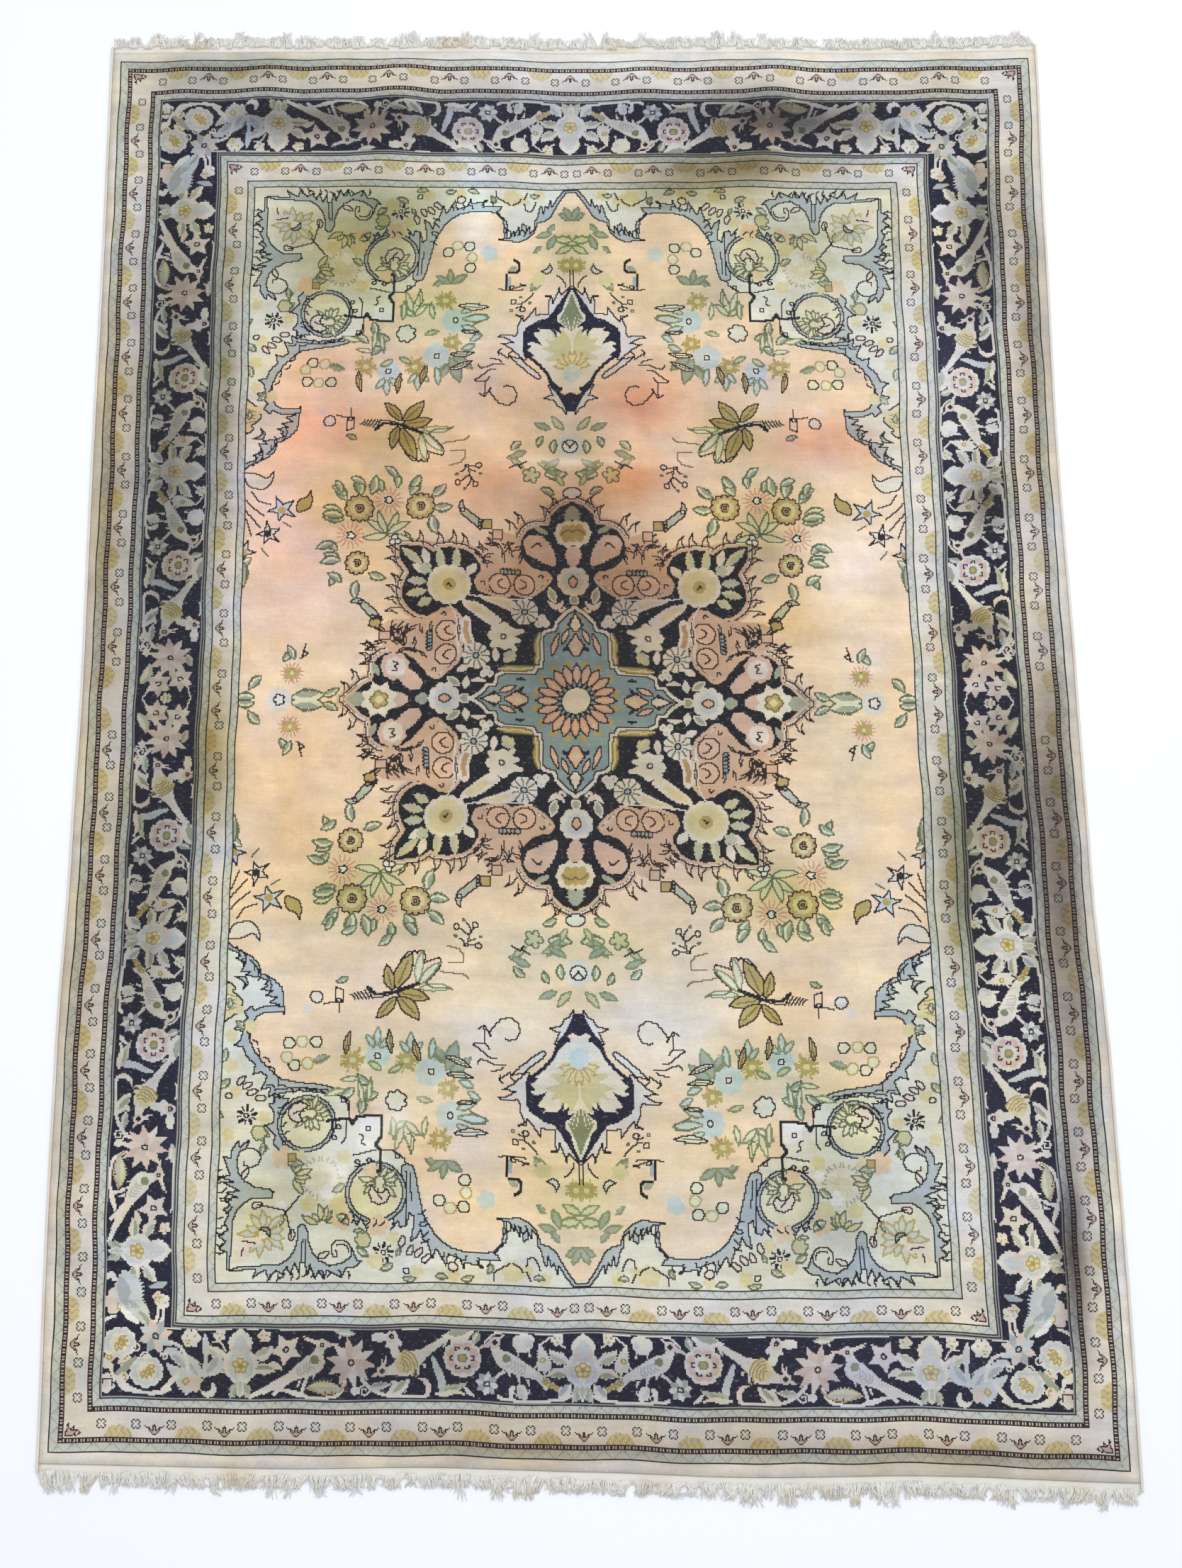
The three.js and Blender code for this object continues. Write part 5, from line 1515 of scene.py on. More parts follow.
# Dirt, old dye and painted shade, darker along the far end and the sides: what they leave of every yarn's
# colour
SOIL_AND_SHADE = [
    # place, radii, what is left, strength
    ((0, 150), (260, 110), "#b8a088", 0.85), ((0, 240), (90, 60), "#9c8468", 0.6),
    ((0, 20), (290, 170), "#c2bbb0", 0.85), ((0, -150), (260, 90), "#d6cfc0", 0.7),
    ((-290, 590), (150, 110), "#bfb996", 0.95), ((-240, 650), (110, 70), "#b5b797", 0.8),
    ((290, 610), (150, 100), "#d9dac8", 0.9), ((160, 690), (130, 45), "#a8a07c", 0.8),
    ((-290, -590), (140, 100), "#e6e6d6", 0.9), ((290, -600), (140, 100), "#d9dfe6", 0.9),
    ((-495, 330), (75, 560), "#8f8d86", 0.95), ((-495, -250), (75, 300), "#b0aea9", 0.8),
    ((-430, 420), (28, 300), "#a9ad9b", 0.8), ((-430, -70), (34, 130), "#b9ad80", 0.9),
    ((-572, 240), (28, 420), "#cfbc98", 0.9), ((-572, -400), (28, 420), "#e0d4bf", 0.8),
    ((-300, 780), (240, 45), "#88878a", 0.9), ((-420, 855), (180, 40), "#bdbba6", 0.8),
    ((270, 780), (170, 50), "#726c6a", 0.95), ((220, 715), (150, 26), "#8c8166", 0.8),
    ((500, 260), (40, 70), "#6d645e", 0.7), ((480, 95), (60, 30), "#6d645e", 0.6),
    ((500, -100), (60, 160), "#8b857f", 0.9), ((548, -250), (38, 330), "#8f8378", 0.8),
    ((534, -640), (20, 150), "#5d5458", 0.9), ((440, -200), (40, 200), "#9f9f86", 0.9),
    ((510, 620), (45, 170), "#8a867f", 0.8), ((570, 520), (30, 300), "#b3a796", 0.7),
    ((-100, -862), (520, 22), "#e8dccd", 0.9), ((420, -862), (220, 24), "#d2c6ba", 0.8),
    ((-250, -775), (280, 50), "#bdbcb8", 0.7), ((60, -775), (560, 60), "#dcdce2", 1.0),
    ((0, 790), (600, 52), "#cfcfd5", 1.0), ((0, -850), (640, 34), "#e3dfdc", 1.0),
    ((562, -60), (26, 560), "#c2bab4", 1.0), ((0, 400), (280, 90), "#e8e1dd", 0.9),
    ((0, -400), (380, 260), "#f2f1ee", 0.9),
]
# Rubbed places, where worn nap looks pale, and painted sheen, where the silk's glare is painted in as pale
# bluish patches
RUBBED_AND_SHEEN = [
    # place, radii, colour, strength
    ((-130, 785), (80, 40), "#b9b7c4", 0.5), ((10, 800), (60, 40), "#d9d8d8", 0.45),
    ((60, 862), (220, 30), "#e4e2dd", 0.6), ((465, 400), (50, 130), "#cfcdd6", 0.55),
    ((475, 540), (40, 60), "#c5c3cf", 0.4), ((560, 150), (34, 160), "#e0dcd8", 0.6),
    ((395, 330), (34, 200), "#dbd8d0", 0.55), ((320, 520), (70, 60), "#d9d8cf", 0.35),
    ((300, 650), (110, 60), "#cdd0cd", 0.25), ((470, -520), (60, 160), "#a7abc4", 0.28),
    ((330, -770), (200, 50), "#a7abc8", 0.3), ((-350, -690), (60, 30), "#dddbd2", 0.5),
    ((100, -640), (300, 60), "#e0dfda", 0.25), ((-440, -560), (40, 170), "#d5d8d2", 0.4),
    ((420, -560), (40, 170), "#d9dade", 0.4), ((-270, -560), (36, 32), "#f2efe6", 0.6),
    ((-238, -530), (34, 28), "#f2efe6", 0.65), ((-203, -500), (34, 24), "#f2efe6", 0.65),
    ((-168, -474), (36, 20), "#f2efe6", 0.5), ((0, 310), (160, 8), "#e6dccf", 0.5),
    ((0, -300), (420, 300), "#efe9de", 0.08),
]


def soft_spot(u, v, at, radii):
    """1 at a place, falling softly to nearly 0 beyond its radii."""
    return np.exp(-2 * (((u - at[0]) / radii[0]) ** 2 + ((v - at[1]) / radii[1]) ** 2))


def cloudy(u, v, size, number):
    """Soft blotches of about a size in mm, from -1 to 1."""
    values = np.random.default_rng(SEED + number).uniform(-1, 1, (400, 400))
    x, y = u / size + 150, v / size + 150
    i, j = np.floor(x).astype(int), np.floor(y).astype(int)
    a, b = eased(x - i), eased(y - j)
    low = values[j, i] * (1 - a) + values[j, i + 1] * a
    high = values[j + 1, i] * (1 - a) + values[j + 1, i + 1] * a
    return low * (1 - b) + high * b


def worn_colour_with_painted_light(yarn, u, v):
    """Colours of yarns at places on the rug, after washing, dirt and wear, with painted shade and painted
    sheen laid in.
    """
    tint = np.ones((len(u), 3))
    ground = srgb(YARN_HEX["ground"])
    # aged dye, and painted nap sheen that turns the ground pinker or paler in places
    for at, radii, colour, strength in FIELD_WASHES_AND_SHEEN:
        share = strength * soft_spot(u, v, at, radii)[:, None]
        tint = tint * (1 - share) + srgb(colour) / ground * share
    # dirt, and painted shade that darkens every yarn along the far end and the sides
    for at, radii, colour, strength in SOIL_AND_SHADE:
        share = strength * soft_spot(u, v, at, radii)[:, None]
        tint = tint * (1 - share) + tint * srgb(colour) * share
    blotch = 0.6 * cloudy(u, v, 46, 1) + 0.4 * cloudy(u, v, 19, 2)
    streak = cloudy(u * 0.12, v, 7, 3)
    tint *= (1 + 0.065 * blotch + 0.045 * streak)[:, None]
    warmth = 0.6 * cloudy(u, v, 60, 4) + 0.4 * cloudy(u, v, 24, 5)
    tint *= 1 + warmth[:, None] * (0.035, 0.004, -0.09)
    colour = YARN_COLOUR[yarn] * tint
    fades = np.clip(YARN_COLOUR[yarn].mean(1, keepdims=True) / 0.45, 0.3, 1)
    pale = 0.10 * np.clip(cloudy(u, v, 33, 6) + cloudy(u, v * 0.3, 11, 7) - 0.25, 0, 1)
    colour += (srgb("#f1ece2") - colour) * pale[:, None] * fades
    # pale worn streaks, and painted sheen where the silk's glare falls
    for at, radii, sheen_and_wear_colour, strength in RUBBED_AND_SHEEN:
        share = strength * soft_spot(u, v, at, radii) * (0.75 + 0.4 * cloudy(u, v, 17, 8))
        colour += (srgb(sheen_and_wear_colour) - colour) * share[:, None] * fades
    return colour


# The pile is cut into cells of one yarn, no larger than this many knots, finer where it ripples
LARGEST_CELL = 8
LARGEST_CELL_RIPPLED = 6
RIPPLED_FROM = 590
# The side of the square that the OFBake map spans, in mm of rug: its length with a narrow rim
BAKE_SPAN = 2 * PILE_HALF_LENGTH + 20


def whole_chart(quarter):
    """All four quarters."""
    half = np.concatenate([quarter[:, ::-1], quarter], 1)
    return np.concatenate([half[::-1], half], 0)


def cells_of(chart, piece_of_knot):
    """Rectangles of knots of one yarn: columns from, to, rows from, to, yarn and piece."""
    rows, columns = chart.shape
    done = []
    growing = {}
    for row in range(rows + 1):
        found = {}
        if row < rows:
            yarns, owners = chart[row], piece_of_knot[row]
            rippled = abs(row + 0.5 - rows / 2) * KNOT_V > RIPPLED_FROM
            largest = LARGEST_CELL_RIPPLED if rippled else LARGEST_CELL
            splits = np.arange(1, columns) % largest == 0
            starts = np.flatnonzero((yarns[1:] != yarns[:-1]) | (owners[1:] != owners[:-1]) | splits) + 1
            starts = [0, *starts.tolist()]
            ends = [*starts[1:], columns]
            for c0, c1, yarn, owner in zip(starts, ends, yarns[starts].tolist(), owners[starts].tolist()):
                found[(c0, c1, yarn, owner)] = row
        kept = {}
        for key, first in growing.items():
            if key in found and row - first < largest:
                kept[key] = first
            else:
                done.append((key[0], key[1], first, row, key[2], key[3]))
        growing = {key: kept.get(key, row) for key in found}
    return np.array(done)


def wobble(u, v):
    """How far hand knotting strays from a true grid, in mm."""
    du = (0.7 * np.sin(v / 31 + 1.3 * np.sin(u / 67)) + 0.9 * np.sin(v / 83 + u / 190 + 1)
          + 0.5 * np.sin(v / 13.7 + u / 41))
    dv = (0.6 * np.sin(u / 27 + 1.1 * np.sin(v / 71)) + 0.9 * np.sin(u / 97 - v / 230 + 2)
          + 0.5 * np.sin(u / 15.3 - v / 37))
    room = np.minimum(1, np.minimum(PILE_HALF_WIDTH - np.abs(u), PILE_HALF_LENGTH - np.abs(v)) / 12)
    return u + du * room, v + dv * room


def pile_relief(u, v):
    """Unevenness of the clipped pile's top, in mm, falling off at its sheared edge."""
    edge = np.minimum(PILE_HALF_WIDTH - np.abs(u), PILE_HALF_LENGTH - np.abs(v))
    soft = 0.28 * np.sin(u / 19 + 1.7 * np.sin(v / 43)) * np.sin(v / 23 + 1.1 * np.sin(u / 37))
    return soft - 0.9 * (1 - eased(edge / 4))


def new_mesh(name, points, faces):
    """A mesh from its vertices in metres and its faces."""
    mesh = bpy.data.meshes.new(name)
    mesh.from_pydata(points, [], faces)
    mesh.update()
    return mesh


def new_piece(name, mesh, material, slot, *stands_for):
    """A smooth-shaded piece on the root body, in place of the solids that it stands for."""
    piece = bpy.data.objects.new(name, mesh)
    bpy.context.scene.collection.objects.link(piece)
    mesh.materials.append(material)
    mesh.polygons.foreach_set("use_smooth", np.ones(len(mesh.polygons), bool))
    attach(piece, "root")
    if stands_for:
        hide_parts(*stands_for)
    return piece


def set_corner_uv(mesh, name, uv):
    layer = mesh.uv_layers.new(name=name)
    layer.data.foreach_set("uv", np.ascontiguousarray(uv, np.float32).ravel())


def pile_pieces(chart, piece_names, piece_of_knot, material):
    """The knotted surface, as one piece for each group of bands, meeting edge to edge."""
    cells = cells_of(chart, piece_of_knot)
    rows, columns = chart.shape
    used = np.zeros((rows + 1, columns + 1), bool)
    for r in (2, 3):
        for c in (0, 1):
            used[cells[:, r], cells[:, c]] = True
    grid_u, grid_v = np.meshgrid((np.arange(columns + 1) - columns / 2) * KNOT_U,
                                 (np.arange(rows + 1) - rows / 2) * KNOT_V)
    pieces = {}
    for owner, name in enumerate(piece_names):
        faces, yarns = [], []
        for c0, c1, r0, r1, yarn, _ in cells[cells[:, 5] == owner].tolist():
            low = r0 * (columns + 1) + c0 + np.flatnonzero(used[r0, c0:c1])
            right = (r0 + np.flatnonzero(used[r0:r1, c1])) * (columns + 1) + c1
            high = r1 * (columns + 1) + c1 - np.flatnonzero(used[r1, c1:c0:-1])
            left = (r1 - np.flatnonzero(used[r1:r0:-1, c0])) * (columns + 1) + c0
            faces.append(np.concatenate([low, right, high, left]))
            yarns.append(yarn)
        counts = np.array([len(face) for face in faces])
        corners = np.concatenate(faces)
        vertices, corners_local = np.unique(corners, return_inverse=True)
        u, v = grid_u.ravel()[vertices], grid_v.ravel()[vertices]
        points = place_on_floor(*wobble(u, v), PILE_HEIGHT + pile_relief(u, v))
        walls = []
        if name == piece_names[-1]:
            walls, foot_of = edge_walls(vertices, rows, columns)
            feet = np.array(list(foot_of))
            points = np.concatenate([points, place_on_floor(u[feet], v[feet], np.full(len(feet), 0.2))])
        starts = np.concatenate([[0], np.cumsum(counts)[:-1]])
        polygons = [corners_local[a:a + n].tolist() for a, n in zip(starts, counts)] + walls
        mesh = new_mesh(name, points.tolist(), polygons)
        wall_corners = np.array([c for wall in walls for c in wall], int)
        corner_vertex = np.concatenate([corners_local, wall_corners]) if len(walls) else corners_local
        if len(walls):
            top_of = {foot: top for top, foot in foot_of.items()}
            corner_vertex = np.array([top_of.get(c, c) for c in corner_vertex])
        corner_yarn = np.concatenate([np.repeat(yarns, counts), np.full(len(wall_corners), YARN["margin"])])
        cu, cv = u[corner_vertex], v[corner_vertex]
        paint_corners(mesh, corner_yarn, cu, cv)
        set_corner_uv(mesh, "OFBake", np.stack([0.5 + cu / BAKE_SPAN, 0.5 + cv / BAKE_SPAN], 1))
        set_corner_uv(mesh, "Knots", np.stack([cu / KNOT_U, cv / KNOT_V], 1))
        pieces[name] = new_piece(name, mesh, material, "silk_pile", "pile_slab")
    return pieces


def edge_walls(vertices, rows, columns):
    """Side walls under the pile's outline: faces, and each top vertex's foot vertex."""
    index = {int(vertex): i for i, vertex in enumerate(vertices)}
    width = columns + 1
    loop = []
    loop += [c for c in range(columns) if c in index]
    loop += [r * width + columns for r in range(rows) if r * width + columns in index]
    loop += [rows * width + c for c in range(columns, 0, -1) if rows * width + c in index]
    loop += [r * width for r in range(rows, 0, -1) if r * width in index]
    tops = [index[vertex] for vertex in loop]
    foot_of = {top: len(vertices) + i for i, top in enumerate(tops)}
    walls = [(foot_of[a], foot_of[b], b, a) for a, b in zip(tops, tops[1:] + tops[:1])]
    return walls, foot_of


def paint_corners(mesh, yarn, u, v):
    """Writes each corner's yarn colour, washed, worn, and with the painted shade and sheen that it has at
    that place.
    """
    layer = mesh.color_attributes.new("yarn", "FLOAT_COLOR", "CORNER")
    rgb = linear_rgb(worn_colour_with_painted_light(yarn, u, v))
    rgba = np.concatenate([rgb, np.ones((len(rgb), 1))], 1).astype(np.float32)
    layer.data.foreach_set("color", rgba.ravel())


def closed_sheet(name, u, v, height, thickness, material, slot, *stands_for):
    """A closed thin slab over a grid of rug places."""
    grid_u, grid_v = np.meshgrid(u, v)
    shape = grid_u.shape
    flat_u, flat_v = grid_u.ravel(), grid_v.ravel()
    points = np.concatenate([place_on_floor(flat_u, flat_v, height + thickness),
                             place_on_floor(flat_u, flat_v, height)])
    index = np.arange(flat_u.size).reshape(shape)
    quads = np.stack([index[:-1, :-1], index[:-1, 1:], index[1:, 1:], index[1:, :-1]], -1).reshape(-1, 4)
    below = quads[:, ::-1] + flat_u.size
    loop = np.concatenate([index[0, :-1], index[:-1, -1], index[-1, :0:-1], index[:0:-1, 0]])
    after = np.roll(loop, -1)
    walls = np.stack([loop + flat_u.size, after + flat_u.size, after, loop], 1)
    mesh = new_mesh(name, points.tolist(), np.concatenate([quads, below, walls]).tolist())
    return new_piece(name, mesh, material, slot, *stands_for)


# The cloth under the pile and the flat-woven ends, in mm, just clear of the floor
CLOTH_LIFT = 0.1
FOUNDATION_THICKNESS = 1.6
FOUNDATION_INSET = 1
KILIM_THICKNESS = 1.6
# The side cords: how far out and up their middle lies, the wrapping's pitch and its two radii
CORD_OUT = 1.75
CORD_MIDDLE = 1.8
CORD_PITCH = 2.1
CORD_RADII = (1.45, 1.78)
CORD_SIDES = 8
STRANDS_PER_END = 2700
STRAND_STEPS = 5
STRAND_SIDES = 4


def tubes(paths, radii, sides):
    """Vertices and faces of many thin tubes: paths (n, steps, 3) and radii (n, steps), in metres."""
    n, steps, _ = paths.shape
    along = np.gradient(paths, axis=1)
    along /= np.linalg.norm(along, axis=2, keepdims=True) + 1e-12
    flat = np.cross(along, (0.0, 0.0, 1.0))
    flat /= np.linalg.norm(flat, axis=2, keepdims=True) + 1e-12
    up = np.cross(flat, along)
    turn = 2 * math.pi * np.arange(sides) / sides
    rim = flat[:, :, None] * np.cos(turn)[:, None] + up[:, :, None] * np.sin(turn)[:, None]
    points = paths[:, :, None] + rim * radii[:, :, None, None]
    index = np.arange(n * steps * sides).reshape(n, steps, sides)
    following = np.roll(index, -1, 2)
    quads = np.stack([index[:, :-1], following[:, :-1], following[:, 1:], index[:, 1:]], -1).reshape(-1, 4)
    caps = [*index[:, 0, ::-1].tolist(), *index[:, -1].tolist()]
    return points.reshape(-1, 3), quads.tolist() + caps


def fringe(name, end, material):
    """Short matted warp ends: loose tufts, each gathered at its root and spread at its tip."""
    random = np.random.default_rng(SEED + (1 if end > 0 else 2))
    middles = np.cumsum(random.uniform(4.5, 10, 190)) - PILE_HALF_WIDTH - 4
    middles = middles[middles < PILE_HALF_WIDTH - 1]
    tufts = len(middles)
    tuft_length = random.uniform(9, 13.5, tufts) + 8 * (random.random(tufts) < 0.13)
    tuft_lean = random.normal(0, 4.5, tufts)
    tuft_rise = random.uniform(0.2, 2.6, tufts)
    tuft_start = random.uniform(1.5, 7, tufts)
    tuft = np.sort(random.integers(0, tufts, STRANDS_PER_END))
    offset = random.uniform(-1, 1, STRANDS_PER_END)
    length = tuft_length[tuft] * random.uniform(0.62, 1.08, STRANDS_PER_END)
    curl = random.uniform(-2.2, 2.2, STRANDS_PER_END)
    layer = random.random(STRANDS_PER_END)
    t = np.linspace(0, 1, STRAND_STEPS)[None, :]
    spread = 5.2 - 7.5 * t * (1 - t) * 1.6 + 1.6 * t
    u = (middles[tuft, None] + offset[:, None] * spread + tuft_lean[tuft, None] * t ** 1.4
         + curl[:, None] * np.sin(t * math.pi * 1.4))
    start = tuft_start[tuft, None]
    v = end * (KILIM_HALF_LENGTH - start + (length[:, None] + start) * t)
    u = np.clip(u, -PILE_HALF_WIDTH - 5, PILE_HALF_WIDTH + 5)
    over_edge = np.clip((start - (length[:, None] + start) * t) / 2 + 0.8, 0, 1)
    height = (0.45 + (KILIM_THICKNESS + 0.1) * over_edge + 1.3 * layer[:, None]
              + tuft_rise[tuft, None] * np.sin(t * math.pi * 0.9) * (0.3 + 0.7 * layer[:, None]))
    paths = place_on_floor(u, v, height)
    radii = np.tile((0.60 - 0.25 * t) * MM, (STRANDS_PER_END, 1))
    points, faces = tubes(paths, radii, STRAND_SIDES)
    return new_piece(name, new_mesh(name, points.tolist(), faces), material, "cotton_warp",
                     "kilim_end_far" if end > 0 else "kilim_end_near")


def kilim_end(name, end, material):
    """The flat-woven end: a thin closed slab between the pile and the fringe."""
    inner, outer = PILE_HALF_LENGTH + SEAM_GAP, KILIM_HALF_LENGTH
    u = np.linspace(-PILE_HALF_WIDTH, PILE_HALF_WIDTH, 240)
    v = np.sort(end * np.linspace(inner, outer, 7))
    return closed_sheet(name, u, v, CLOTH_LIFT, KILIM_THICKNESS, material, "cotton_warp",
                        "kilim_end_far" if end > 0 else "kilim_end_near")


def side_cord(name, side, material):
    """An overcast edge: a round cord whose wrapping stands out in turns."""
    half = KILIM_HALF_LENGTH - 2.5
    turns = int(2 * half / CORD_PITCH)
    steps = turns * 2 + 1
    v = np.linspace(-half, half, steps)
    edge = np.full(steps, side * (PILE_HALF_WIDTH + SEAM_GAP + CORD_OUT))
    centre = place_on_floor(edge, v, np.full(steps, CORD_MIDDLE))
    radii = np.where(np.arange(steps) % 2, CORD_RADII[1], CORD_RADII[0]) * MM
    points, faces = tubes(centre[None], radii[None], CORD_SIDES)
    return new_piece(name, new_mesh(name, points.tolist(), faces), material, "overcast_yarn",
                     "side_cord_left" if side < 0 else "side_cord_right")


def node(tree, kind, properties=None, inputs=None):
    """Adds a shader node with its properties, and its inputs as values or linked sockets."""
    made = tree.nodes.new("ShaderNode" + kind)
    for name, value in (properties or {}).items():
        setattr(made, name, value)
    for name, value in (inputs or {}).items():
        if isinstance(value, bpy.types.NodeSocket):
            tree.links.new(value, made.inputs[name])
        else:
            made.inputs[name].default_value = value
    return made


def math_node(tree, operation, *values):
    return node(tree, "Math", {"operation": operation}, dict(enumerate(values))).outputs[0]


def new_material(name):
    """An empty node material, its tree and its principled shader."""
    material = bpy.data.materials.new(name)
    material.use_nodes = True
    tree = material.node_tree
    return material, tree, tree.nodes["Principled BSDF"]


def silk_pile():
    """Hand-knotted silk: knot rows give the grain, bare wefts pale streaks, the sheen the nap's glow."""
    material, tree, shader = new_material("knotted_silk_pile")
    yarn = node(tree, "Attribute", {"attribute_name": "yarn"}).outputs["Color"]
    knots = node(tree, "UVMap", {"uv_map": "Knots"}).outputs["UV"]
    knot = node(tree, "VectorMath", {"operation": "FLOOR"}, {0: knots}).outputs[0]
    shade = node(tree, "TexWhiteNoise", {"noise_dimensions": "2D"}, {"Vector": knot}).outputs["Value"]
    streaks = node(tree, "TexNoise", {"noise_dimensions": "2D"}, {"Vector": node(
        tree, "VectorMath", {"operation": "MULTIPLY"}, {0: knots, 1: (0.06, 0.5, 1)}).outputs[0],
        "Scale": 1.0, "Detail": 3.0}).outputs["Fac"]
    nap = node(tree, "TexNoise", {"noise_dimensions": "2D"}, {"Vector": knots, "Scale": 0.09, "Detail": 4.0,
                                                              "Roughness": 0.6}).outputs["Fac"]
    total = math_node(tree, "MULTIPLY_ADD", shade, 0.10, math_node(
        tree, "MULTIPLY_ADD", streaks, 0.16, math_node(tree, "MULTIPLY_ADD", nap, 0.22, 0.76)))
    value = node(tree, "HueSaturation", None, {"Color": yarn, "Value": total}).outputs["Color"]
    rows = node(tree, "VectorMath", {"operation": "MULTIPLY"}, {0: knots, 1: (0.45, 0.9, 1)}).outputs[0]
    wear = node(tree, "TexNoise", {"noise_dimensions": "2D"}, {"Vector": rows, "Scale": 0.5, "Detail": 5.0,
                                                               "Roughness": 0.75}).outputs["Fac"]
    bare = node(tree, "MapRange", None, {"Value": wear, "From Min": 0.60, "From Max": 0.80, "To Max": 0.3})
    worn = node(tree, "Mix", {"data_type": "RGBA"}, {0: bare.outputs[0], 6: value,
                                                     7: (*linear_rgb("#efe9dc"), 1)})
    tree.links.new(worn.outputs[2], shader.inputs["Base Color"])
    parts = node(tree, "SeparateXYZ", None, {0: knots})
    across = math_node(tree, "ABSOLUTE", math_node(tree, "SINE",
                                                   math_node(tree, "MULTIPLY", parts.outputs[0], math.pi)))
    along = math_node(tree, "ABSOLUTE", math_node(tree, "SINE",
                                                  math_node(tree, "MULTIPLY", parts.outputs[1], math.pi)))
    height = math_node(tree, "MULTIPLY_ADD", across, along, math_node(tree, "MULTIPLY", shade, 0.5))
    bump = node(tree, "Bump", None, {"Height": height, "Distance": 0.0003, "Strength": 0.5})
    soft = node(tree, "Bump", None, {"Height": nap, "Distance": 0.0012, "Strength": 0.6,
                                     "Normal": bump.outputs[0]})
    tree.links.new(soft.outputs[0], shader.inputs["Normal"])
    for name, setting in {"Roughness": 0.6, "Specular IOR Level": 0.28, "Sheen Weight": 0.08,
                          "Sheen Roughness": 0.4}.items():
        shader.inputs[name].default_value = setting
    return material


def cotton(name, colour, pitch):
    """Unbleached cotton: a fine plain weave or ply at its own pitch, in metres."""
    material, tree, shader = new_material(name)
    place = node(tree, "NewGeometry").outputs["Position"]
    mottle = node(tree, "TexNoise", None, {"Vector": place, "Scale": 45.0, "Detail": 5.0}).outputs["Fac"]
    stain = node(tree, "TexNoise", None, {"Vector": place, "Scale": 9.0, "Detail": 3.0}).outputs["Fac"]
    tint = node(tree, "ValToRGB", None, {"Fac": stain})
    tint.color_ramp.elements[0].position = 0.55
    tint.color_ramp.elements[0].color = (*linear_rgb(colour), 1)
    tint.color_ramp.elements[1].position = 0.78
    tint.color_ramp.elements[1].color = (*linear_rgb("#d9c8a4"), 1)
    value = node(tree, "HueSaturation", None, {"Color": tint.outputs["Color"], "Value": math_node(
        tree, "MULTIPLY_ADD", mottle, 0.2, 0.9)}).outputs["Color"]
    tree.links.new(value, shader.inputs["Base Color"])
    parts = node(tree, "SeparateXYZ", None, {0: place})
    waves = [math_node(tree, "SINE", math_node(tree, "MULTIPLY", parts.outputs[axis], 2 * math.pi / pitch))
             for axis in (0, 1)]
    bump = node(tree, "Bump", None, {"Height": math_node(tree, "MULTIPLY", *waves), "Distance": 0.0003,
                                     "Strength": 0.4})
    tree.links.new(bump.outputs[0], shader.inputs["Normal"])
    for name, setting in {"Roughness": 0.9, "Specular IOR Level": 0.2, "Sheen Weight": 0.2}.items():
        shader.inputs[name].default_value = setting
    return material


def floor_paint():
    """Smooth matt white floor."""
    material, _, shader = new_material("white_floor")
    shader.inputs["Base Color"].default_value = (*linear_rgb("#f4f6fb"), 1)
    shader.inputs["Roughness"].default_value = 0.8
    return material


chart = Chart()
knot_medallion(chart)
knot_field(chart)
knot_bands(chart)
for guard in GUARDS:
    knot_guard(chart, **guard)
knot_main_border(chart)

# The pile's pieces from the middle outwards; the medallion's is the block of the field that it lies in
MEDALLION_BLOCK = (300, 270)
band_of_knot, _, _ = band_numbers()
in_block = ((np.arange(ROWS) * KNOT_V < MEDALLION_BLOCK[1])[:, None]
            & (np.arange(COLUMNS) * KNOT_U < MEDALLION_BLOCK[0]))
piece_names = ["medallion", "field", "inner_guard", "main_border", "outer_guards"]
owner = np.select([in_block, band_of_knot >= FIRST_BAND_OF_PIECE["field"],
                   band_of_knot >= FIRST_BAND_OF_PIECE["inner_guard"],
                   band_of_knot >= FIRST_BAND_OF_PIECE["main_border"]], [0, 1, 2, 3], 4)

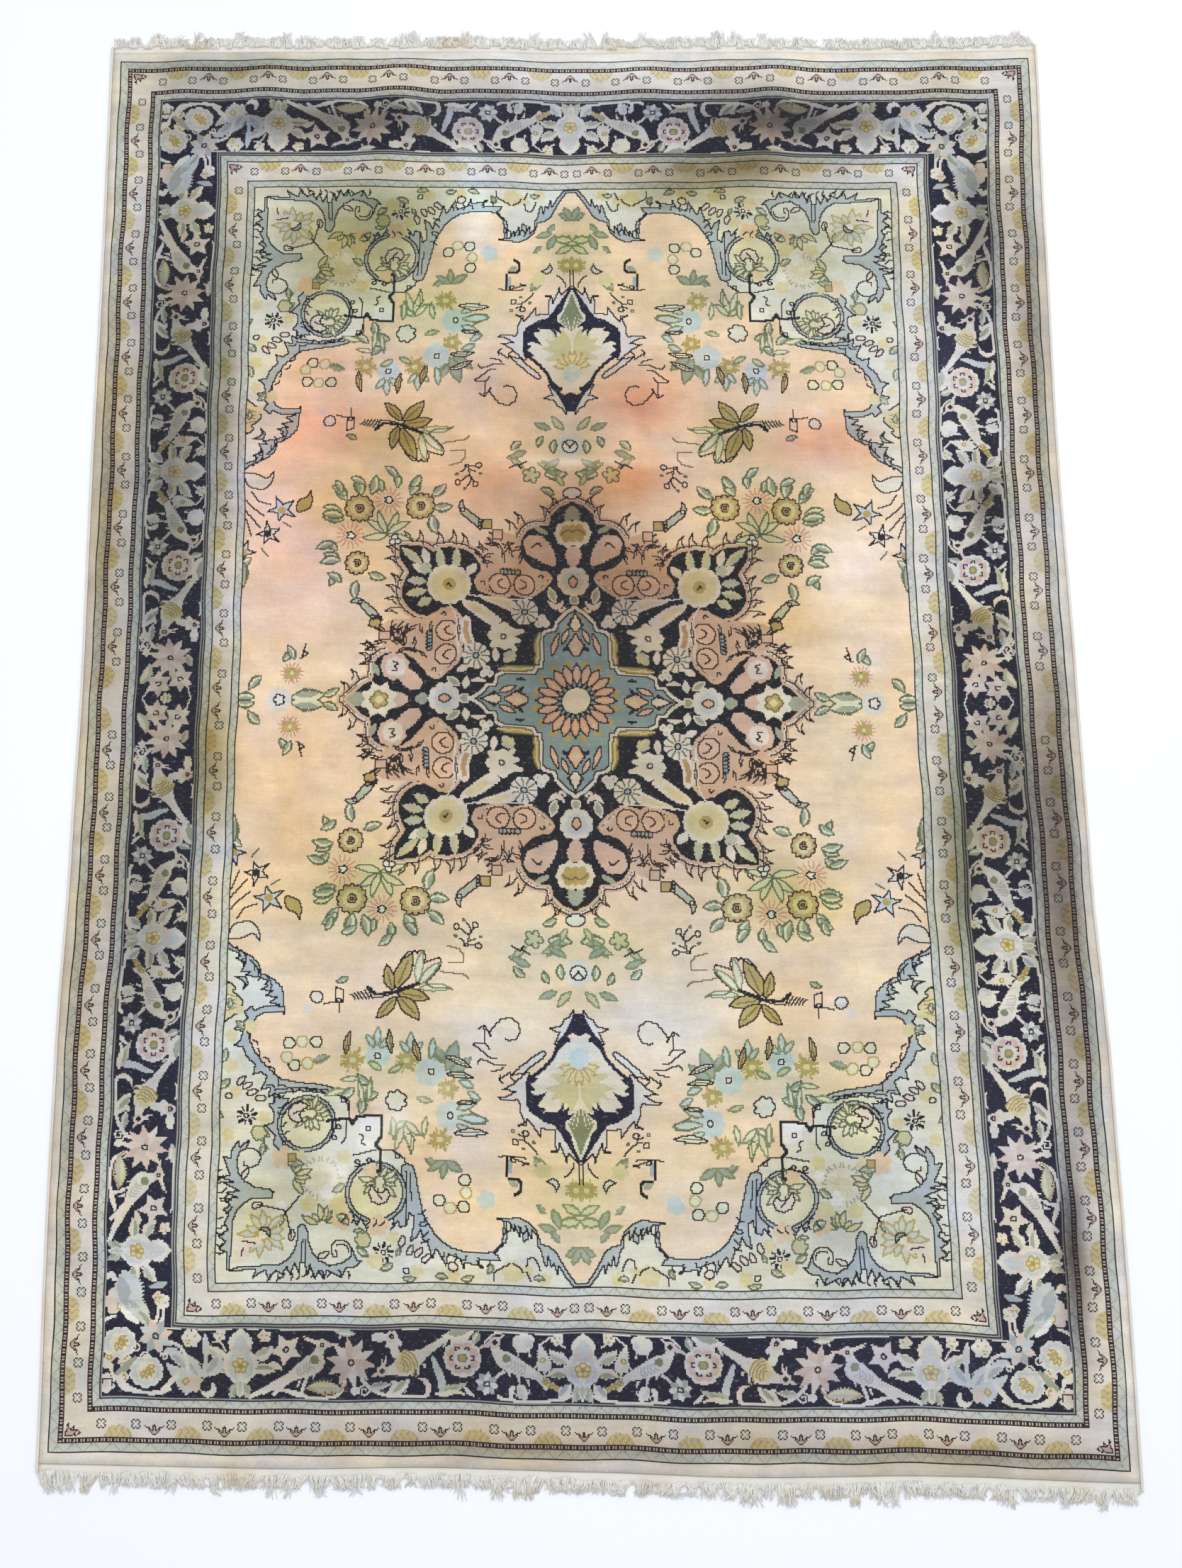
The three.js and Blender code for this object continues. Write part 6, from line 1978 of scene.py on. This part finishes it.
WARP_PITCH = 1.2 * MM
silk = silk_pile()
warp = cotton("cotton_warp", "#e6e2d9", WARP_PITCH)
frayed = cotton("frayed_cotton_warp", "#f0ede5", WARP_PITCH)
yarn_cord = cotton("overcast_silk_yarn", "#e2dacd", CORD_PITCH * MM)
pile = pile_pieces(whole_chart(chart.cells), ["pile_" + name for name in piece_names], whole_chart(owner),
                   silk)

foundation_half_width = PILE_HALF_WIDTH - FOUNDATION_INSET
foundation_half_length = PILE_HALF_LENGTH - FOUNDATION_INSET
foundation = closed_sheet("foundation", np.linspace(-foundation_half_width, foundation_half_width, 63),
                          np.linspace(-foundation_half_length, foundation_half_length, 95),
                          CLOTH_LIFT, FOUNDATION_THICKNESS, warp, "cotton_warp", "pile_slab")
kilims = [kilim_end("kilim_far", 1, warp), kilim_end("kilim_near", -1, warp)]
fringes = [fringe("fringe_far", 1, frayed), fringe("fringe_near", -1, frayed)]
cords = [side_cord("cord_left", -1, yarn_cord), side_cord("cord_right", 1, yarn_cord)]

FLOOR_SIDE = 14
bpy.ops.mesh.primitive_plane_add(size=FLOOR_SIDE, location=(0, 0, 0))
floor = bpy.context.object
floor.name = "floor"
floor.data.materials.append(floor_paint())


def area_light(name, place, target, size, power):
    """A square white light, in metres and watts, that faces its target."""
    data = bpy.data.lights.new(name, "AREA")
    data.size = size
    data.energy = power
    lamp = bpy.data.objects.new(name, data)
    lamp.location = place
    lamp.rotation_mode = "QUATERNION"
    lamp.rotation_quaternion = (Vector(target) - Vector(place)).to_track_quat("-Z", "Y")
    bpy.context.scene.collection.objects.link(lamp)


bpy.context.scene.view_settings.view_transform = "Standard"
LIGHTS = [
    # name, place, target, side, power
    ("overhead", (0, 0.2, 3.2), (0, 0, 0), 3.2, 46), ("window", (2.0, 2.6, 2.0), (0, 0.1, 0), 1.8, 20),
]
for light in LIGHTS:
    area_light(*light)
world = bpy.data.worlds.new("studio")
bpy.context.scene.world = world
world.use_nodes = True
background = world.node_tree.nodes["Background"].inputs
background["Color"].default_value = (*linear_rgb("#f2f5fb"), 1)
background["Strength"].default_value = 0.78
